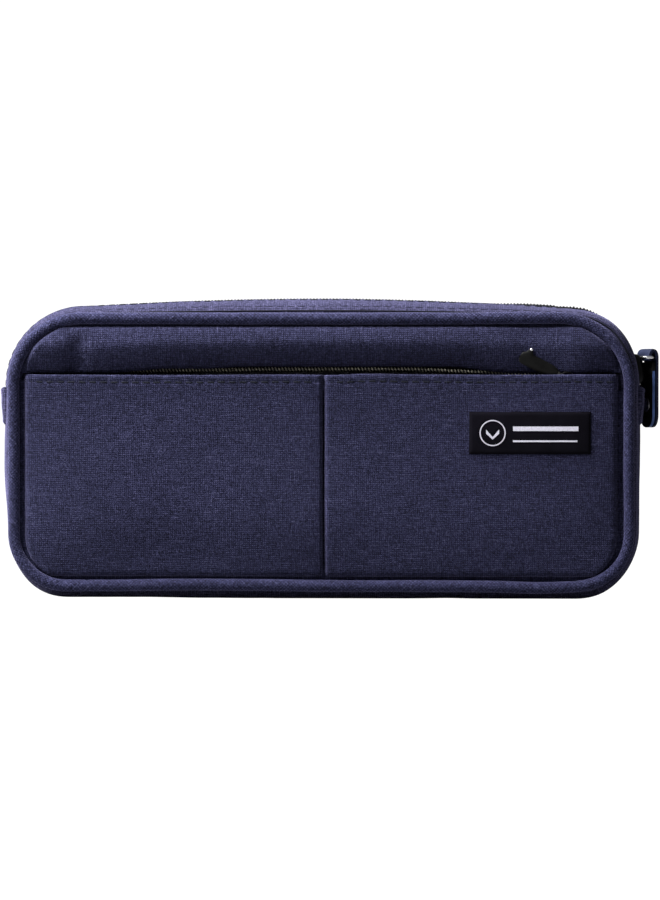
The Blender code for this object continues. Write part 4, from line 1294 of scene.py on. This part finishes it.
PULL_PIVOT = Vector(joint("main_ring_lift")["pos_m"]) / MM


def swung(start, out, side, up, turn):
    """A point so far outwards, sideways and up from the start, turned about the vertical."""
    x = start.x + out * math.cos(turn) - side * math.sin(turn)
    y = start.y + out * math.sin(turn) + side * math.cos(turn)
    return x, y, start.z + up


def on_ring(out, side, up):
    return swung(PULL_PIVOT, out, side, up, RING_TURN)


RING_END = Vector(on_ring(RING_LENGTH, 0, 0))


def on_tab(out, side, up):
    return swung(RING_END, out - RING_LENGTH, side, up, TAB_TURN)


def pull_ring():
    """A rounded rectangle of bright wire."""
    far, near, half = RING_LENGTH - RING_CORNER, RING_CORNER, RING_HALF - RING_CORNER
    path = []
    for u, v, start in ((far, half, 0), (near, half, 90), (near, -half, 180), (far, -half, 270)):
        for k in range(9):
            a = math.radians(start + 90 * k / 8)
            path.append(Vector((u + RING_CORNER * math.cos(a), v + RING_CORNER * math.sin(a))))
    rings, uv = [], []
    for i, here in enumerate(path):
        run = (path[(i + 1) % len(path)] - path[i - 1]).normalized()
        out = Vector((run.y, -run.x))
        ring = []
        for a in turns(14):
            spot = here + out * RING_WIRE * math.cos(a)
            ring.append(on_ring(spot.x, spot.y, RING_WIRE * math.sin(a)))
        rings.append(ring)
        uv.append([(i, k) for k in range(14)])
    ring_piece = tube("pull_ring_wire", rings, uv, SILVER, "main_ring", closed=True)
    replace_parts(ring_piece, "main_pull_ring")


def strap_foot():
    """(height, half width) down the pull's rounded lower end."""
    foot = TAB_FOOT_Z - PULL_PIVOT.z
    rows = [(foot + TAB_ROUND, TAB_HALF)]
    for k in range(1, 11):
        a = math.pi / 2 * k / 10
        rows.append((foot + TAB_ROUND * (1 - math.sin(a)), max(0.5, TAB_HALF * math.cos(a) ** 0.8)))
    return rows


def strap_side(share):
    """How far a strap's edge is rounded at that share of its half width."""
    return 0.10 * smooth_step(0.85, 1.0, abs(share))


def pull_tab():
    """The navy strap, folded over the ring's outer bar."""
    line = [(RING_LENGTH - TAB_INSIDE, up, TAB_HALF) for up in (-1.4, -0.7)]
    for k in range(17):
        a = math.pi * (1 - k / 16)
        line.append((RING_LENGTH + TAB_INSIDE * math.cos(a), 2.3 * TAB_INSIDE * math.sin(a), TAB_HALF))
    straight = [(up, TAB_HALF) for up in (-1.5, -4, -7, -10, -14, -18, -22)]
    line += [(RING_LENGTH + TAB_INSIDE, up, wide) for up, wide in straight + strap_foot()]
    outer, inner, uv = [], [], []
    mark = 0.0
    for i, (out, up, wide) in enumerate(line):
        before = line[max(0, i - 1)]
        after = line[min(len(line) - 1, i + 1)]
        run = Vector((after[0] - before[0], after[1] - before[1])).normalized()
        mark += math.hypot(out - before[0], up - before[1])
        row_out, row_in, marks = [], [], []
        for share in STRAP_SHARES:
            soft = strap_side(share)
            row_in.append(on_tab(out - run.y * soft, share * wide, up + run.x * soft))
            lift = TAB_THICK - soft
            row_out.append(on_tab(out - run.y * lift, share * wide, up + run.x * lift))
            marks.append((mark, share * wide))
        outer.append(row_out)
        inner.append(row_in)
        uv.append(marks)
    tab = grid_solid("pull_tab_strip", outer, inner, uv, NAVY_LEATHER, "main_tab")
    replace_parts(tab, "main_pull_tab")


def pull_facing():
    """The black inner layer of the pull, its rim painted up to a height."""
    near = RING_LENGTH + TAB_INSIDE - FACING_GAP
    rows = [(-1.9, TAB_HALF * 0.9), (-2.4, TAB_HALF * 0.98), (-2.9, TAB_HALF)]
    rows += [(up, TAB_HALF) for up in (-3.5, -4.5, -5.5, -6.5, -7.5, -8.5, -10, -12, -15, -19)]
    outer, inner, uv = [], [], []
    for up, wide in rows + strap_foot():
        row_out, row_in, marks = [], [], []
        for share in STRAP_SHARES:
            soft = strap_side(share)
            row_out.append(on_tab(near - FACING_THICK + soft, share * wide, up))
            row_in.append(on_tab(near - soft, share * wide, up))
            marks.append((up, share * wide))
        outer.append(row_out)
        inner.append(row_in)
        uv.append(marks)
    facing = grid_solid("pull_tab_facing", outer, inner, uv, BLACK_LEATHER, "main_tab")
    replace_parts(facing, "main_pull_facing")
    paint_rim(facing, EDGE_PAINT, below=PAINT_TOP)


def pull_rivet():
    """A rivet through both layers: a flat cap inside, a domed one outside."""
    low = RING_LENGTH + TAB_INSIDE - FACING_GAP - FACING_THICK - 0.02
    high = RING_LENGTH + TAB_INSIDE + TAB_THICK + 0.02
    height = TAB_RIVET_Z - PULL_PIVOT.z
    flat_cap = ((0.15, 0.7), (1.0, 0.68), (1.9, 0.58), (2.6, 0.35), (2.95, 0.1), (3.0, 0.0))
    domed_cap = ((3.0, 0.0), (2.95, 0.1), (2.6, 0.45), (1.9, 0.8), (1.0, 0.97), (0.15, 1.0))
    profile = [(r, low - h) for r, h in flat_cap] + [(1.1, low), (1.1, high)]
    profile += [(r, high + h) for r, h in domed_cap]
    rings = []
    for r, out in profile:
        rings.append([on_tab(out, r * math.cos(a), height + r * math.sin(a)) for a in turns(28)])
    uv = [[(i, k) for k in range(28)] for i in range(len(rings))]
    rivet = tube("pull_rivet_caps", rings, uv, SILVER, "main_tab", sharp=60)
    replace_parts(rivet, "main_pull_rivet")


def main_slider_shape():
    """The main slider's dark cast body, thickest beside the pull. It holds the ring's inner bar."""
    heights = ((0.4, 0.5), (1.3, 1.9), (3.0, 2.9), (6.5, 3.3), (10.5, 3.3), (13.5, 3.2))
    heights += ((16.0, 3.3), (18.6, 3.4), (20.4, 2.6), (21.6, 1.5), (22.2, 0.6))
    rings, marks = [], []
    for angle, high in heights:
        a = math.radians(angle)
        ring = []
        for turn in turns(20):
            up, along = math.sin(turn), math.cos(turn)
            reach = SLIDER_ARC + high / 2 + (high / 2 + 1.0) * math.copysign(abs(up) ** 0.7, up)
            wide = 4.0 * math.copysign(abs(along) ** 0.7, along)
            ring.append((TOP_X + reach * math.cos(a), wide, TOP_Z + reach * math.sin(a)))
        rings.append(ring)
        marks.append([(angle, k) for k in range(20)])
    piece = tube("main_slider_casting", rings, marks, BLACK_METAL, "main_slider")
    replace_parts(piece, "main_slider_body")


def paint_rim(piece, paint, below):
    """Gives the edge of a strap its painted finish, as far up as that height in metres."""
    piece.data.materials.append(paint)
    half = len(piece.data.vertices) // 2
    for face in piece.data.polygons:
        sides = {v < half for v in face.vertices}
        if len(sides) == 2 and face.center.z < below:
            face.material_index = 1


def pocket_pull():
    """A leaf of black leather with a softened edge, and a small bright rivet."""
    centre = Vector(joint("pocket_tab_swivel")["pos_m"]) / MM
    turn = math.radians(24.5)
    run = math.hypot(1, ZIP_SLOPE)

    def at(u, v, h):
        along = u * math.cos(turn) - v * math.sin(turn)
        across = u * math.sin(turn) + v * math.cos(turn)
        x = centre.x - (along + ZIP_SLOPE * across) / run
        z = centre.z + (across - ZIP_SLOPE * along) / run
        return x, centre.y - h, z

    def lean_at(u):
        """How far the leaf leans away from the pouch."""
        return 0.11 * max(0.0, u - 3.7) + 0.2 * smooth_step(12, 20, u)

    shape = [(3.9, 0.9), (4.4, 1.4), (5.0, 1.8), (5.8, 2.15), (6.8, 2.35), (8.5, 2.5), (11.0, 2.55)]
    shape += [(u, 2.6) for u in (14.0, 16.0, 16.6, 17.2, 17.8)]
    shape += [(18.4, 2.55), (19.2, 2.45), (20.0, 2.2), (20.5, 1.8), (20.8, 1.0)]
    outer, inner, uv = [], [], []
    for u, w in shape:
        a, b, marks = [], [], []
        lean = lean_at(u)
        for share in (-1, -0.94, -0.82, -0.5, 0, 0.5, 0.82, 0.94, 1):
            soft = 0.35 * smooth_step(0.75, 1.0, abs(share))
            cup = 0.18 * (1 - share * share)
            lobe = 2.9 * bell(u - 17.8, 0.95) if share > 0 else 0.0
            spot = share * (w + lobe)
            a.append(at(u, spot, lean + 0.7 - soft + cup * 0.4))
            b.append(at(u, spot, lean - 0.7 + soft))
            marks.append((u, share * w))
        outer.append(a)
        inner.append(b)
        uv.append(marks)
    leaf = grid_solid("pocket_pull_leaf", outer, inner, uv, BLACK_LEATHER, "pocket_tab")
    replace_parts(leaf, "pocket_pull_tab")

    neck_rings = []
    for u, w, t in ((1.5, 0.7, 0.9), (1.7, 0.9, 1.2), (3.4, 0.9, 1.2), (3.9, 0.95, 0.9), (4.6, 1.2, 0.6)):
        neck_rings.append([at(u, -w, -t), at(u, w, -t), at(u, w, t), at(u, -w, t)])
    tube("pocket_pull_neck", neck_rings, [[(0, 0)] * 4] * 5, BLACK_LEATHER, "pocket_tab")

    rivet_u, rivet_v = 17.8, 4.3
    base = 0.45 + lean_at(rivet_u)
    rings = []
    for r, h in ((0.1, 0.5), (0.3, 0.46), (0.5, 0.34), (0.62, 0.15), (0.66, -0.1)):
        ring = [at(rivet_u + r * math.cos(a), rivet_v + r * math.sin(a), base + h) for a in turns(20)]
        rings.append(ring)
    uv = [[(i, k) for k in range(20)] for i in range(len(rings))]
    rivet = tube("pocket_pull_stud", rings, uv, SILVER, "pocket_tab")
    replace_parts(rivet, "pocket_pull_rivet")


def kept_shapes():
    """Pieces whose CAD shape is shown as it is, in their own finish."""
    for node in ("pocket_slider_body", "pocket_pull_link"):
        repaint(node, BLACK_METAL)
    for node in ("front_piping_cord", "back_piping_cord"):
        repaint(node, CORD)


# ---------------------------------------------------------------- camera and light


def aim(thing, target):
    direction = Vector(target) - thing.location
    thing.rotation_euler = direction.to_track_quat("-Z", "Y").to_euler()


def softbox(name, place, size, power):
    data = bpy.data.lights.new(name, "AREA")
    data.shape = "RECTANGLE"
    data.size, data.size_y = size
    data.energy = power
    lamp = bpy.data.objects.new(name, data)
    lamp.location = place
    bpy.context.scene.collection.objects.link(lamp)
    aim(lamp, STUDIO_AIM)


def floor():
    """Pale paper, which the camera sees as nearly white."""
    mesh = bpy.data.meshes.new("floor")
    mesh.from_pydata([(-6, -6, 0), (6, -6, 0), (6, 6, 0), (-6, 6, 0)], [], [(0, 1, 2, 3)])
    sheet = bpy.data.objects.new("floor", mesh)
    bpy.context.scene.collection.objects.link(sheet)
    paper = Graph("look_floor_paper")
    grain = paper.noise(paper.object_space(), 30.0)
    paper.colour(paper.ramp(grain, ((0.3, (0.19, 0.19, 0.19)), (0.7, (0.21, 0.21, 0.21)))))
    paper.set(Roughness=0.9)
    glow = paper.put("ShaderNodeEmission", {"Strength": 1.1})
    glow.inputs["Color"].default_value = (1, 1, 1, 1)
    path = paper.put("ShaderNodeLightPath")
    seen = paper.times(path.outputs["Is Camera Ray"], 0.97)
    mix = paper.put("ShaderNodeMixShader", {0: seen})
    paper.links.new(paper.shader.outputs[0], mix.inputs[1])
    paper.links.new(glow.outputs[0], mix.inputs[2])
    paper.links.new(mix.outputs[0], paper.nodes["Material Output"].inputs[0])
    mesh.materials.append(paper.material)


def studio():
    """A white surround, brighter overhead, one large softbox and a weak fill."""
    world = bpy.data.worlds.new("studio")
    bpy.context.scene.world = world
    world.use_nodes = True
    tree = world.node_tree
    sky = tree.nodes["Background"]
    place = tree.nodes.new("ShaderNodeTexCoord")
    split = tree.nodes.new("ShaderNodeSeparateXYZ")
    tree.links.new(place.outputs["Generated"], split.inputs[0])
    fade = tree.nodes.new("ShaderNodeMapRange")
    for key, value in enumerate((0.0, 1.0, 0.04, 0.36), start=1):
        fade.inputs[key].default_value = value
    tree.links.new(split.outputs[2], fade.inputs[0])
    tree.links.new(fade.outputs[0], sky.inputs["Strength"])
    sky.inputs["Color"].default_value = (1, 1, 1, 1)
    seen = tree.nodes.new("ShaderNodeBackground")
    seen.inputs["Color"].default_value = (1, 1, 1, 1)
    seen.inputs["Strength"].default_value = 1.1
    path = tree.nodes.new("ShaderNodeLightPath")
    mix = tree.nodes.new("ShaderNodeMixShader")
    tree.links.new(path.outputs["Is Camera Ray"], mix.inputs[0])
    tree.links.new(sky.outputs[0], mix.inputs[1])
    tree.links.new(seen.outputs[0], mix.inputs[2])
    tree.links.new(mix.outputs[0], tree.nodes["World Output"].inputs[0])

    softbox("top_softbox", (-0.62, -0.20, 0.86), (0.8, 0.28), 80.0)
    softbox("front_fill", (-1.1, -0.9, 0.5), (0.8, 0.5), 0.8)
    bpy.context.scene.view_settings.view_transform = "Standard"


def camera():
    """Nearly level with the pouch, a little to its right and above."""
    data = bpy.data.cameras.new("view")
    data.sensor_fit = "HORIZONTAL"
    data.sensor_width = 36.0
    data.lens = data.sensor_width * CAMERA_DISTANCE / CAMERA_WIDTH
    data.dof.use_dof = False
    view = bpy.data.objects.new("view", data)
    bpy.context.scene.collection.objects.link(view)
    azimuth, elevation = math.radians(1.8), math.radians(1.2)
    target = Vector((0.0039, -0.018, 0.060))
    level = math.cos(elevation)
    away = Vector((math.sin(azimuth) * level, -math.cos(azimuth) * level, math.sin(elevation)))
    view.location = target + away * CAMERA_DISTANCE
    aim(view, target)
    bpy.context.scene.camera = view


def build():
    camera()
    floor()
    studio()
    gusset()
    side_tabs()
    piping("front", -PIPING_Y, 1.0)
    piping("back", PIPING_Y, 6.0)
    front_panels()
    slip_pockets()
    pocket_zip()
    inner_layers()
    back_panel()
    label()
    label_mark()
    pull_ring()
    pull_tab()
    pull_facing()
    pull_rivet()
    main_slider_shape()
    pocket_pull()
    kept_shapes()


build()
